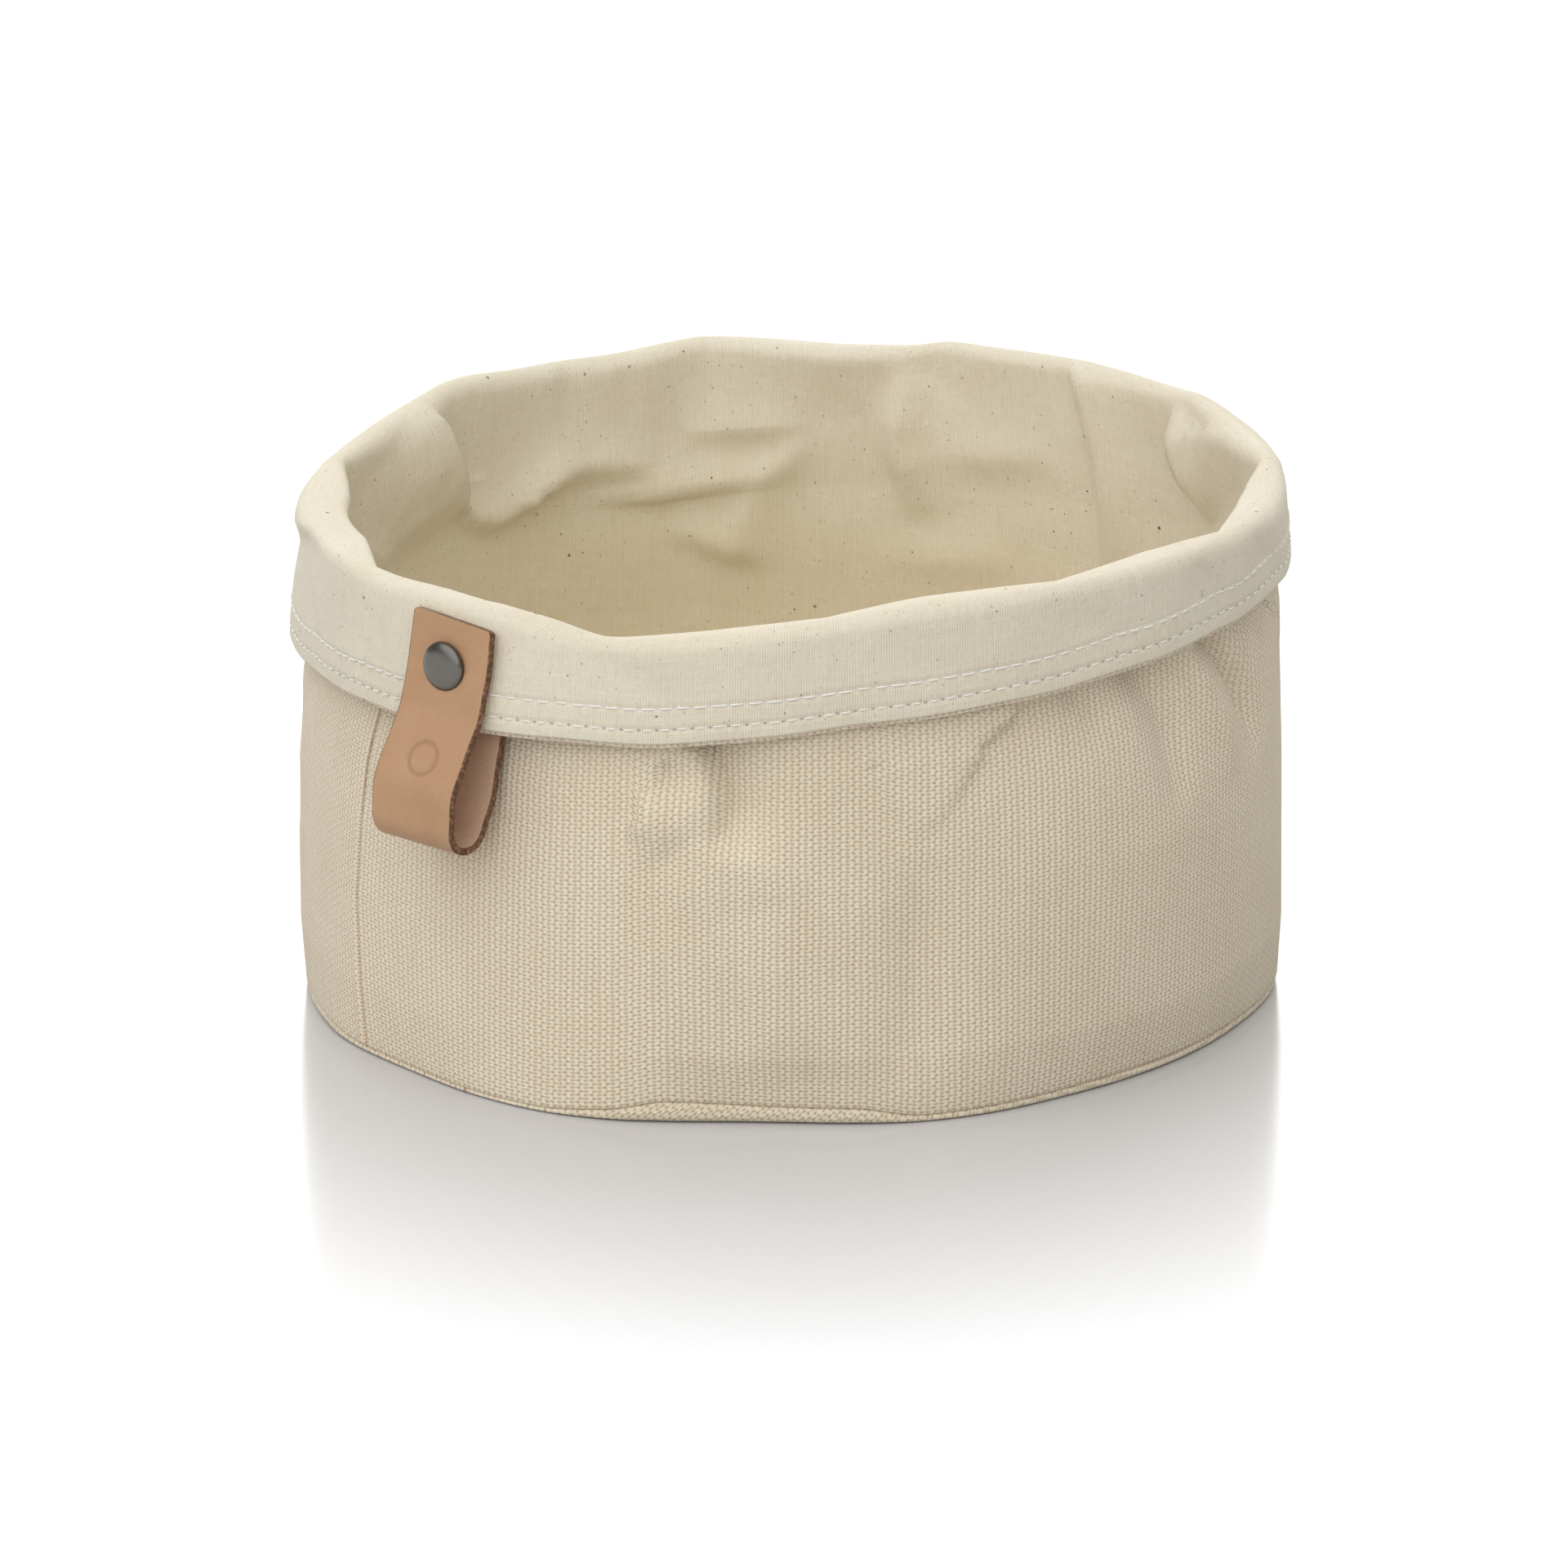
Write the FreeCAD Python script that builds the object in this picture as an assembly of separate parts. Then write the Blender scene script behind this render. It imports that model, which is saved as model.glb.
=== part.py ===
"""Round fabric storage bin with a turned-down cuff and a riveted leather loop.

Millimetres, +Z up. The origin is the centre of the underside, on the surface the bin stands on.
The leather loop is on the -Y side. Fabric strips are drawn as paths of (radius, height, bend
radius) down the middle of the cloth, given their thickness, and turned about the Z axis.
"""
import FreeCAD
import Part

import math
import os

# Driving dimensions
BODY_RADIUS = 98.5          # outer face of the canvas wall
RIM_HEIGHT = 104.5          # top of the rolled rim
CANVAS = 0.75               # thickness of the coarse outer canvas
COTTON = 0.4                # thickness of the cotton lining
PLY_GAP = 0.3               # loose gap between canvas and lining
CUFF_RADIUS = 101.4         # outer face of the turned-down cuff
CUFF_EDGE_HEIGHT = 74.5     # lowest edge of the cuff
HEM = 8.8                   # depth of the turned-in hem along the cuff's edge
COTTON_EDGE_RISE = 0.8      # how far the cotton edge stops above the canvas edge
WALL_LEAN = 0.14            # the wall leans in by this share of its height, under the cuff
LEAN_START = 48.0           # height where the wall starts to lean in
ROLL_BEND = 3.7             # bend radius of the canvas inside the rolled rim
SEAM_ALLOWANCE_TOP = 12.0   # top of the raw edges turned up inside, along the base seam
WALL_FOLD_HEIGHT = 1.6      # middle of the canvas at the fold along the base
BASE_TURN_UP = 2.0          # bend radius where the base turns up to its seam
LINER_TURN_UP = 1.5         # the same for the lining's base
THREAD = 0.17               # thread radius
SEAM_AZIMUTH = -17.5        # side seam of the canvas, from the loop, towards +X
LINER_SEAM_AZIMUTH = 162.5  # side seam of the lining

STRAP_WIDTH = 20.2
STRAP_THICKNESS = 1.5
STRAP_TOP = 97.5
STRAP_BOTTOM = 53.0
STRAP_FRONT = 102.95        # middle of the front leg, out from the bin's axis
STRAP_BACK = 96.7           # middle of the back leg, between cuff and wall
STRAP_BULGE = 113.2         # middle of the leather at the loop's widest point

BULGE_HEIGHT = 66.0         # top of the loop's widest stretch
BOTTOM_WIDTH = 8.2          # from the corner under the back leg to the one under the bulge
BOTTOM_BEND = 4.8           # bend radius at the loop's bottom

RIVET_HEIGHT = 88.3
POST_RADIUS = 1.5
RUNNING_CLEARANCE = 0.05    # leather hole round the post, and under each rivet head
CAP_RADIUS = 5.0
CAP_RISE = 2.1
BACK_HEAD_RADIUS = 3.8
BACK_HEAD_RISE = 1.2

SHORTEST_EDGE = 1e-4        # straight runs shorter than this are left out between two bends
AXIS = FreeCAD.Vector(0, 0, 1)
CENTRE = FreeCAD.Vector(0, 0, 0)


def heading(start, end):
    """Unit direction from one path point to the next."""
    across, up = end[0] - start[0], end[1] - start[1]
    length = math.hypot(across, up)
    return across / length, up / length


def parallel(path, distance):
    """The path moved sideways by distance, to the left of the way it runs."""
    moved = []
    for i, (radius, height, bend) in enumerate(path):
        after = heading(path[i], path[i + 1]) if i < len(path) - 1 else None
        before = heading(path[i - 1], path[i]) if i else after
        after = after or before
        normals = [(-before[1], before[0]), (-after[1], after[0])]
        spread = 1 + normals[0][0] * normals[1][0] + normals[0][1] * normals[1][1]
        shift = [(normals[0][k] + normals[1][k]) / spread * distance for k in (0, 1)]
        turn = before[0] * after[1] - before[1] * after[0]
        bend_there = bend - math.copysign(distance, turn) if bend else 0
        moved.append((radius + shift[0], height + shift[1], bend_there))
    return moved


def rounded_edges(path):
    """Straight edges and tangent arcs along a path, in the XZ plane."""
    edges = []
    here = path[0][:2]

    def point(place):
        return FreeCAD.Vector(place[0], 0, place[1])

    def add_straight(start, end):
        if math.dist(start, end) > SHORTEST_EDGE:
            edges.append(Part.LineSegment(point(start), point(end)).toShape())

    for i in range(1, len(path) - 1):
        corner, bend = path[i][:2], path[i][2]
        before, after = heading(path[i - 1], path[i]), heading(path[i], path[i + 1])
        turn = before[0] * after[1] - before[1] * after[0]
        angle = math.acos(max(-1.0, min(1.0, before[0] * after[0] + before[1] * after[1])))
        tangent = bend * math.tan(angle / 2)
        start = [corner[k] - before[k] * tangent for k in (0, 1)]
        end = [corner[k] + after[k] * tangent for k in (0, 1)]
        side = math.copysign(1, turn)
        middle = [start[0] - before[1] * side * bend, start[1] + before[0] * side * bend]
        outward = [corner[k] - middle[k] for k in (0, 1)]
        reach = math.hypot(*outward)
        crest = [middle[k] + outward[k] / reach * bend for k in (0, 1)]
        add_straight(here, start)
        edges.append(Part.Arc(point(start), point(crest), point(end)).toShape())
        here = end
    add_straight(here, path[-1][:2])
    return edges


def cloth_face(path, thickness):
    """The cross-section of a strip of that thickness whose middle follows the path."""
    left, right = parallel(path, thickness / 2), parallel(path, -thickness / 2)
    edges = rounded_edges(left) + rounded_edges(right)
    for one, other in ((left[0], right[0]), (left[-1], right[-1])):
        ends = [FreeCAD.Vector(p[0], 0, p[1]) for p in (one, other)]
        edges.append(Part.LineSegment(*ends).toShape())
    return Part.Face(Part.Wire(Part.__sortEdges__(edges)))


def ring(path, thickness):
    """A strip of cloth turned once round the bin's axis."""
    return cloth_face(path, thickness).revolve(CENTRE, AXIS, 360)


def thread_ring(radius, height):
    """A line of stitching round the bin, as one thread."""
    return Part.makeTorus(radius, THREAD, FreeCAD.Vector(0, 0, height), AXIS)


def turned_outward(outline):
    """Turns an outline of (radius, distance out from the bin's axis) about the rivet's axis."""
    points = [FreeCAD.Vector(radius, 0, out) for radius, out in outline]
    face = Part.Face(Part.makePolygon(points + points[:1]))
    solid = face.revolve(CENTRE, AXIS, 360)
    solid.rotate(CENTRE, FreeCAD.Vector(1, 0, 0), 90)
    solid.translate(FreeCAD.Vector(0, 0, RIVET_HEIGHT))
    return solid


def rivet_hole(radius, start, end):
    """A cylinder along the rivet's axis, from start to end out from the bin's axis."""
    base = FreeCAD.Vector(0, -start, RIVET_HEIGHT)
    return Part.makeCylinder(radius, end - start, base, FreeCAD.Vector(0, -1, 0))


# Paths of the cloth: middle of the canvas, then of the lining
WALL_LINE = BODY_RADIUS - CANVAS / 2
ROLL_TOP = RIM_HEIGHT - COTTON - PLY_GAP - CANVAS / 2
ROLL_INNER = WALL_LINE - WALL_LEAN * (ROLL_TOP - LEAN_START)
FACING_LINE = CUFF_RADIUS - COTTON / 2
PLY_STEP = 0.05             # air between plies that are pressed together
COTTON_HEM_LINE = FACING_LINE - COTTON - PLY_STEP
CANVAS_HEM_LINE = COTTON_HEM_LINE - (COTTON + CANVAS) / 2 - PLY_STEP
CUFF_PLY_LINE = CANVAS_HEM_LINE - CANVAS - PLY_STEP
CANVAS_EDGE = CUFF_EDGE_HEIGHT + CANVAS / 2
COTTON_EDGE = CUFF_EDGE_HEIGHT + COTTON_EDGE_RISE + COTTON / 2
HEM_TOP = CUFF_EDGE_HEIGHT + HEM
CANVAS_HEM_BEND = (CANVAS_HEM_LINE - CUFF_PLY_LINE) / 2
COTTON_HEM_BEND = (FACING_LINE - COTTON_HEM_LINE) / 2

# Raw edges at the base seam, one inside the other, from the wall inwards
WALL_RAW_EDGE = WALL_LINE - 2.5
BASE_RAW_EDGE = WALL_RAW_EDGE - CANVAS - 0.1
LINER_BASE_RAW_EDGE = BASE_RAW_EDGE - 1.3
LINER_RAW_EDGE = LINER_BASE_RAW_EDGE - COTTON - 0.1
LINER_FOOT = LINER_RAW_EDGE - COTTON - PLY_STEP
LINER_FOLD_HEIGHT = 2.9
LINER_FLOOR = CANVAS + COTTON / 2 + 0.15
SEAM_STITCH_HEIGHT = 3.4

LINER_OFFSET = (CANVAS + COTTON) / 2 + PLY_GAP

CANVAS_PATH = [
    (WALL_RAW_EDGE, SEAM_ALLOWANCE_TOP, 0),
    (WALL_RAW_EDGE, WALL_FOLD_HEIGHT, 1.2),
    (WALL_LINE, WALL_FOLD_HEIGHT, 1.2),
    (WALL_LINE, LEAN_START, 60),
    (ROLL_INNER, ROLL_TOP, ROLL_BEND),
    (CUFF_PLY_LINE, ROLL_TOP, ROLL_BEND),
    (CUFF_PLY_LINE, CANVAS_EDGE, CANVAS_HEM_BEND),
    (CANVAS_HEM_LINE, CANVAS_EDGE, CANVAS_HEM_BEND),
    (CANVAS_HEM_LINE, HEM_TOP, 0),
]
LINER_WALL_AND_ROLL = parallel(CANVAS_PATH[2:7], LINER_OFFSET)[1:3]
LINER_ROLL_TOP = ROLL_TOP + LINER_OFFSET
LINER_PATH = [
    (LINER_RAW_EDGE, SEAM_ALLOWANCE_TOP, 0),
    (LINER_RAW_EDGE, LINER_FOLD_HEIGHT, COTTON_HEM_BEND),
    (LINER_FOOT, LINER_FOLD_HEIGHT, COTTON_HEM_BEND),
    (LINER_FOOT, SEAM_ALLOWANCE_TOP + 1, 10),
    (WALL_LINE - LINER_OFFSET, SEAM_ALLOWANCE_TOP + 14, 15),
    *LINER_WALL_AND_ROLL,
    (FACING_LINE, LINER_ROLL_TOP, ROLL_BEND + LINER_OFFSET),
    (FACING_LINE, COTTON_EDGE, COTTON_HEM_BEND),
    (COTTON_HEM_LINE, COTTON_EDGE, COTTON_HEM_BEND),
    (COTTON_HEM_LINE, HEM_TOP, 0),
]


def outer_wall():
    """Canvas strip: raw edge, fold at the base, wall, rolled rim, cuff ply and its hem."""
    hole = rivet_hole(POST_RADIUS, STRAP_BACK + STRAP_THICKNESS / 2, CUFF_RADIUS)
    return ring(CANVAS_PATH, CANVAS).cut(hole)


def outer_base():
    """Canvas disc, turned up to the seam at its edge."""
    path = [
        (0, CANVAS / 2, 0),
        (BASE_RAW_EDGE, CANVAS / 2, BASE_TURN_UP),
        (BASE_RAW_EDGE, SEAM_ALLOWANCE_TOP, 0),
    ]
    return ring(path, CANVAS)


def liner_wall():
    """Cotton strip: raw edge, inner wall, over the rim, and the cuff's facing and its hem."""
    hole = rivet_hole(POST_RADIUS, STRAP_BACK + STRAP_THICKNESS / 2, CUFF_RADIUS + 1)
    return ring(LINER_PATH, COTTON).cut(hole)


def liner_base():
    """Cotton disc lying on the canvas base, turned up to its own seam."""
    path = [
        (0, LINER_FLOOR, 0),
        (LINER_BASE_RAW_EDGE, LINER_FLOOR, LINER_TURN_UP),
        (LINER_BASE_RAW_EDGE, SEAM_ALLOWANCE_TOP, 0),
    ]
    return ring(path, COTTON)


def side_seam_thread(azimuth):
    """A seam's thread on the hidden side of the canvas, from the base seam to the rim."""
    width, low, high = 0.4, SEAM_ALLOWANCE_TOP + 16, ROLL_TOP - 9
    lean_end = WALL_LINE - WALL_LEAN * (high - LEAN_START)
    middle = [(WALL_LINE, low, 0), (WALL_LINE, LEAN_START, 60), (lean_end, high, 0)]
    path = parallel(middle, (CANVAS + PLY_GAP) / 2)
    turn = math.degrees(width / BODY_RADIUS)
    thread = cloth_face(path, PLY_GAP / 2).revolve(CENTRE, AXIS, turn)
    thread.rotate(CENTRE, AXIS, azimuth - 90 - turn / 2)
    return thread


def leather_loop():
    """Strap folded in two over the cuff's edge, with a hole in each leg for the rivet."""
    bottom = STRAP_BOTTOM + STRAP_THICKNESS / 2
    path = [
        (STRAP_BACK, STRAP_TOP - 2, 0),
        (STRAP_BACK, CUFF_EDGE_HEIGHT - 4.5, 12),
        (STRAP_BULGE - BOTTOM_WIDTH, bottom, BOTTOM_BEND),
        (STRAP_BULGE, bottom, BOTTOM_BEND),
        (STRAP_BULGE, BULGE_HEIGHT, 10),
        (STRAP_FRONT, RIVET_HEIGHT - 8.2, 9),
        (STRAP_FRONT, STRAP_TOP, 0),
    ]
    strap = cloth_face(path, STRAP_THICKNESS).extrude(FreeCAD.Vector(0, STRAP_WIDTH, 0))
    strap.translate(FreeCAD.Vector(0, -STRAP_WIDTH / 2, 0))
    strap.rotate(CENTRE, AXIS, -90)
    hole_radius = POST_RADIUS + RUNNING_CLEARANCE
    return strap.cut(rivet_hole(hole_radius, STRAP_BACK - 2, STRAP_FRONT + 2))


def rivet_cap():
    """Domed front head with a blind socket that grips the post."""
    under = STRAP_FRONT + STRAP_THICKNESS / 2 + RUNNING_CLEARANCE
    edge = 0.75
    steps = 12
    dome = []
    for i in range(steps + 1):
        swing = math.radians(90 * i / steps)
        rise = edge + (CAP_RISE - edge) * math.sin(swing)
        dome.append((CAP_RADIUS * math.cos(swing) ** 0.7 if i < steps else 0, under + rise))
    socket = [(0, under + 1.2), (POST_RADIUS, under + 1.2), (POST_RADIUS, under)]
    rim = [(CAP_RADIUS - 0.35, under), (CAP_RADIUS, under + 0.35)]
    return turned_outward(socket + rim + dome)


def rivet_post():
    """Back head and the post that runs through leather, cuff and leather to the cap."""
    seat = STRAP_BACK - STRAP_THICKNESS / 2 - RUNNING_CLEARANCE
    tip = STRAP_FRONT + STRAP_THICKNESS / 2 + RUNNING_CLEARANCE + 1.1
    back = seat - BACK_HEAD_RISE
    outline = [
        (0, back),
        (BACK_HEAD_RADIUS - 0.8, back),
        (BACK_HEAD_RADIUS, back + 0.6),
        (BACK_HEAD_RADIUS, seat),
        (POST_RADIUS, seat),
        (POST_RADIUS, tip),
        (0, tip),
    ]
    return turned_outward(outline)


NODES = {
    "outer_wall": outer_wall(),
    "outer_base": outer_base(),
    "liner_wall": liner_wall(),
    "liner_base": liner_base(),
    "outer_side_seam_thread": side_seam_thread(SEAM_AZIMUTH),
    "liner_side_seam_thread": side_seam_thread(LINER_SEAM_AZIMUTH),
    "base_seam_thread": thread_ring(WALL_RAW_EDGE + CANVAS / 2 + THREAD, SEAM_STITCH_HEIGHT),
    "liner_base_seam_thread": thread_ring(
        LINER_BASE_RAW_EDGE + COTTON / 2 + THREAD + 0.1, SEAM_STITCH_HEIGHT
    ),
    "cuff_edge_stitching": thread_ring(CUFF_RADIUS + THREAD, CUFF_EDGE_HEIGHT + 4.0),
    "cuff_hem_stitching": thread_ring(CUFF_RADIUS + THREAD, CUFF_EDGE_HEIGHT + 8.1),
    "leather_loop": leather_loop(),
    "rivet_cap": rivet_cap(),
    "rivet_post": rivet_post(),
}

os.makedirs("parts", exist_ok=True)
for name, shape in NODES.items():
    shape.exportStep(f"parts/{name}.step")
    box = shape.BoundBox
    solids = len(shape.Solids)
    print(f"{name}: {solids} solid, valid {shape.isValid()}, {shape.Volume / 1000:.3f} cm3, "
          f"Z {box.ZMin:.2f} to {box.ZMax:.2f}, Y {box.YMin:.2f} to {box.YMax:.2f}")
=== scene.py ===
"""Looks of a round fabric storage bin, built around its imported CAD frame.

The leather loop is on the -Y side. An azimuth is in degrees from -Y, growing towards +X. Shapes are
worked out in millimetres, and become metres only where a mesh is made. A cloth strip is a path of
(radius, height, bend radius) down its middle, and each value may vary around the bin.
"""

import math

import bpy
import numpy as np
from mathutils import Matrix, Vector


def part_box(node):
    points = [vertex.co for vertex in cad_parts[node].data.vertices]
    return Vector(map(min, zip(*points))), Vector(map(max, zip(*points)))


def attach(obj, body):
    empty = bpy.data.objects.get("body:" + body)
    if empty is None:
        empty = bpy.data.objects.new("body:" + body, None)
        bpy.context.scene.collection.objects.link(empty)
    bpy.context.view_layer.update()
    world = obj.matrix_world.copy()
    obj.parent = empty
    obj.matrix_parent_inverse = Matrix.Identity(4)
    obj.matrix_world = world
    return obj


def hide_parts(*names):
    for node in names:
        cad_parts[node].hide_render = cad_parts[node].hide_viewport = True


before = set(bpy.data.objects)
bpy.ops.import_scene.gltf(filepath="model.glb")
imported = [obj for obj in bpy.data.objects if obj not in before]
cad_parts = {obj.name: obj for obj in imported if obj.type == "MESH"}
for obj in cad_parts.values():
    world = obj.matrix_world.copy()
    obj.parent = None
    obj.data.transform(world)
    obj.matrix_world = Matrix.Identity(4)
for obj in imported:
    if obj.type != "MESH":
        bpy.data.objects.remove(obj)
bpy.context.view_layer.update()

MM = 0.001

# Cloth
CANVAS = 0.75               # thickness of the coarse outer canvas
COTTON = 0.4                # thickness of the cotton lining
PLY_GAP = 0.3               # loose gap between canvas and lining
PLY_STEP = 0.05             # air between plies pressed together
WALL_RADIUS = 98.0          # middle of the canvas, half way up
CUFF_RADIUS = 99.7          # face of the cuff
HEM = 8.8                   # depth of the hem turned in along the cuff's edge
COTTON_EDGE_RISE = 1.1      # how far the cotton's edge stops above the canvas edge
ALLOWANCE_TOP = 12.0        # top of the raw edges turned up inside, along the base seam
STITCH = 3.5                # length of one stitch
EDGE_ROW, HEM_ROW = 4.0, 8.1    # the two rows of stitches, above the cuff's edge
SEAM_ROW = 3.4              # stitches of the base seams, above the floor
SEAM_AZIMUTH = -18.0        # side seam of the canvas
LINER_SEAM_AZIMUTH = 162.5  # side seam of the lining

# Loop and rivet, from the frame
LOOP_LOW, LOOP_HIGH = (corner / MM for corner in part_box("leather_loop"))
CAP_LOW, CAP_HIGH = (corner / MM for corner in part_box("rivet_cap"))
RIVET_HEIGHT = (CAP_LOW.z + CAP_HIGH.z) / 2
STRAP_WIDTH = 20.2
STRAP = 1.5                 # thickness of the leather

# Heights round the bin, as (azimuth, height)
RIM = [
    (-157, 103.6), (-146, 102.9), (-133, 104.5), (-129, 105.0), (-118, 102.6), (-104, 102.6),
    (-95, 104.2), (-88, 102.6), (-73, 99.4), (-60, 98.2), (-48, 97.4), (-36, 98.3), (-22, 99.6),
    (-17, 98.8), (-8, 99.6), (3, 100.4), (12, 98.6), (18, 96.6), (25, 97.9), (34, 99.9),
    (44, 102.2), (56, 104.4), (71, 105.0), (88, 105.2), (101, 104.2), (116, 103.2), (130, 102.8),
    (137, 103.6), (151, 104.2), (159, 105.0), (169, 104.2), (177, 104.9), (184, 105.2),
    (195, 104.9), (201, 105.2),
]
CUFF_EDGE = [
    (-150, 84), (-110, 79), (-80, 74.5), (-55, 70.5), (-37, 70.5), (-26, 72.7), (-11, 74.8),
    (3, 75.7), (21, 76.2), (34, 78.7), (52, 81.2), (71, 84.4), (90, 86.2), (112, 88.0),
    (150, 87), (180, 86),
]
FOOT = [                    # outline of the base on the floor, as (azimuth, radius)
    (-170, 96.5), (-145, 94.8), (-120, 97.2), (-95, 95), (-70, 96.5), (-50, 97.4), (-32, 98.6),
    (-25, 99.4), (-18, 98.5), (-9, 97.8), (-1, 99.3), (11, 100.6), (22, 99.2), (31, 95.8),
    (39, 95.0), (52, 97.3), (62, 97.3), (74, 95.4), (88, 95.2), (108, 96.0), (124, 98.4),
    (150, 96.6), (170, 97.5),
]
LIFT = [                    # how far the wall stands off the floor, as (azimuth, height)
    (-150, 1.2), (-100, 0.8), (-45, 1.0), (-30, 1.8), (-22, 0.7), (0, 0.35), (12, 0.4),
    (20, 1.9), (25, 4.0), (30, 3.7), (38, 3.1), (49, 2.7), (52, 1.6), (55, 0.8), (65, 1.0),
    (80, 1.4), (110, 1.3), (150, 0.9),
]

PINCH = [                   # width of the roll over the rim at its corners, as (azimuth, width)
    (-150, 2.6), (-129, 2.8), (-111, 3.2), (-92, 3.2), (-67, 2.8), (-40, 2.0), (-21, 2.8),
    (18, 3.6), (60, 3.8), (103, 3.0), (136, 2.6), (161, 2.6), (181, 2.4),
]
INNER_BENDS = [             # bend of the canvas at the roll's inner edge, as (azimuth, radius)
    (-150, 1.2), (-129, 1.4), (-111, 2.0), (-93, 2.6), (-78, 2.4), (-70, 1.0), (-60, 0.5),
    (-25, 0.5), (0, 1.0), (60, 1.2), (103, 0.6), (133, 0.6), (139, 1.6), (150, 2.0), (161, 1.6),
    (170, 1.2),
]

# Corners of the rim, between which its inner edge runs almost straight
CORNERS = [-129, -111, -92, -67, -21, 2, 18, 44, 73, 103, 136, 161, 181, 201]

DEEPEST_SAG = 6.2           # the cloth between two corners of the rim falls in no further
SMOOTH_STEP = 0.25          # degrees between samples when a curve is softened
CREASE_SPREAD = 0.92        # share of its stated width that a crease takes
LINER_DEPTH = 1.2           # the lining's creases are deeper than stated, by this factor


def around(points, azimuth, soften=2.0):
    """A closed curve through (azimuth, value) pairs, with its corners softened over some degrees."""
    grid = np.arange(-180, 180, SMOOTH_STEP)
    places, values = zip(*points)
    line = np.interp(grid, places, values, period=360)
    reach = np.minimum(grid + 180, 180 - grid)
    weight = np.exp(-0.5 * (reach / soften) ** 2)
    line = np.fft.ifft(np.fft.fft(line) * np.fft.fft(weight / weight.sum())).real
    return np.interp(azimuth, grid, line, period=360)


def away(azimuth, place):
    """Degrees from a place to an azimuth, the short way round."""
    return (azimuth - place + 180) % 360 - 180


def bell(distance, width):
    """1 at no distance, falling smoothly to nothing over the width."""
    return np.exp(-((distance / width) ** 2))


def swell(azimuth, waves):
    """Gentle unevenness round the bin: a few waves of (count, size, phase)."""
    return sum(size * np.sin(np.radians(azimuth * count + phase)) for count, size, phase in waves)


def chord_sag(azimuth):
    """How far the straight line between two neighbouring corners of the rim falls inside the circle."""
    places = np.array(CORNERS)
    ends = np.append(places[1:], places[0] + 360)
    turned = (azimuth - places[0]) % 360 + places[0]
    index = np.clip(np.searchsorted(places, turned, side="right") - 1, 0, len(places) - 1)
    start, end = places[index], ends[index]
    half = np.radians((end - start) / 2)
    off_middle = np.radians(turned - (start + end) / 2)
    return WALL_RADIUS * (1 - np.cos(half) / np.cos(off_middle))


def crease(azimuth, height, route, depth, left, right, fade):
    """A fold line's height over the cloth: its two sides fall away over different widths.

    The route is a list of (azimuth, height). The line fades at its start and end where fade says so.
    """
    origin = route[0][0]
    line = np.array([(WALL_RADIUS * math.radians(away(a, origin)), h) for a, h in route])
    for _ in range(2):      # cut the corners twice, which rounds the line
        cuts = [line[:1]]
        for start, end in zip(line[:-1], line[1:]):
            cuts.append([0.75 * start + 0.25 * end, 0.25 * start + 0.75 * end])
        line = np.concatenate(cuts + [line[-1:]])
    across = WALL_RADIUS * np.radians(away(azimuth, origin))
    runs = np.hypot(*(line[1:] - line[:-1]).T)
    total, passed = runs.sum(), 0.0
    nearest, side, along = np.full(azimuth.shape, np.inf), np.ones(azimuth.shape), 0 * azimuth
    for start, end, run in zip(line[:-1], line[1:], runs):
        way = (end - start) / run
        dx, dy = across - start[0], height - start[1]
        share = np.clip(dx * way[0] + dy * way[1], 0, run)
        gap = np.hypot(dx - share * way[0], dy - share * way[1])
        closer = gap < nearest
        nearest = np.where(closer, gap, nearest)
        side = np.where(closer, np.sign(way[0] * dy - way[1] * dx), side)
        along = np.where(closer, (passed + share) / total, along)
        passed += run
    strength = np.ones(azimuth.shape)
    if fade[0]:
        strength *= np.clip(along / 0.35, 0, 1) ** 0.7
    if fade[1]:
        strength *= np.clip((1 - along) / 0.35, 0, 1) ** 0.7
    width = np.where(side > 0, left, right) * CREASE_SPREAD
    return depth * strength / (1 + (nearest / width) ** 2) ** 1.5


def path_of(*corners):
    """Corners of (radius, height, bend), each value a number or one value per azimuth, as one array."""
    columns = np.broadcast_shapes(*(np.shape(value) for corner in corners for value in corner))
    return np.array([[np.broadcast_to(v, columns) for v in corner] for corner in corners], float)


def headings(path):
    """Unit directions before and after each corner of a path."""
    steps = path[1:, :2] - path[:-1, :2]
    steps = steps / np.hypot(steps[:, 0], steps[:, 1])[:, None]
    return np.concatenate([steps[:1], steps]), np.concatenate([steps, steps[-1:]])


def parallel(path, distance):
    """The path moved sideways, to the left of the way it runs."""
    before, after = headings(path)
    normals = np.stack([-before[:, 1] - after[:, 1], before[:, 0] + after[:, 0]], 1)
    spread = 1 + (before * after).sum(1)
    turn = before[:, 0] * after[:, 1] - before[:, 1] * after[:, 0]
    moved = path.copy()
    moved[:, :2] += normals / spread[:, None] * distance
    bend = path[:, 2] - np.sign(turn) * distance
    moved[:, 2] = np.where(path[:, 2] > 0, np.maximum(bend, 0.02), 0)
    return moved


def fitted(path):
    """The path with its bends made small enough for the runs between them."""
    before, after = headings(path)
    half_turn = np.arccos(np.clip((before * after).sum(1), -1, 1)) / 2
    reach = path[:, 2] * np.tan(half_turn)
    runs = np.hypot(*np.moveaxis(np.diff(path[:, :2], axis=0), 1, 0))
    share = 0.96 * runs / np.maximum(reach[:-1] + reach[1:], 1e-6)
    scale = np.minimum(1, np.minimum(np.append(share, share[-1:], axis=0),
                                     np.append(share[:1], share, axis=0)))
    path = path.copy()
    path[:, 2] *= scale
    return path


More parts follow.
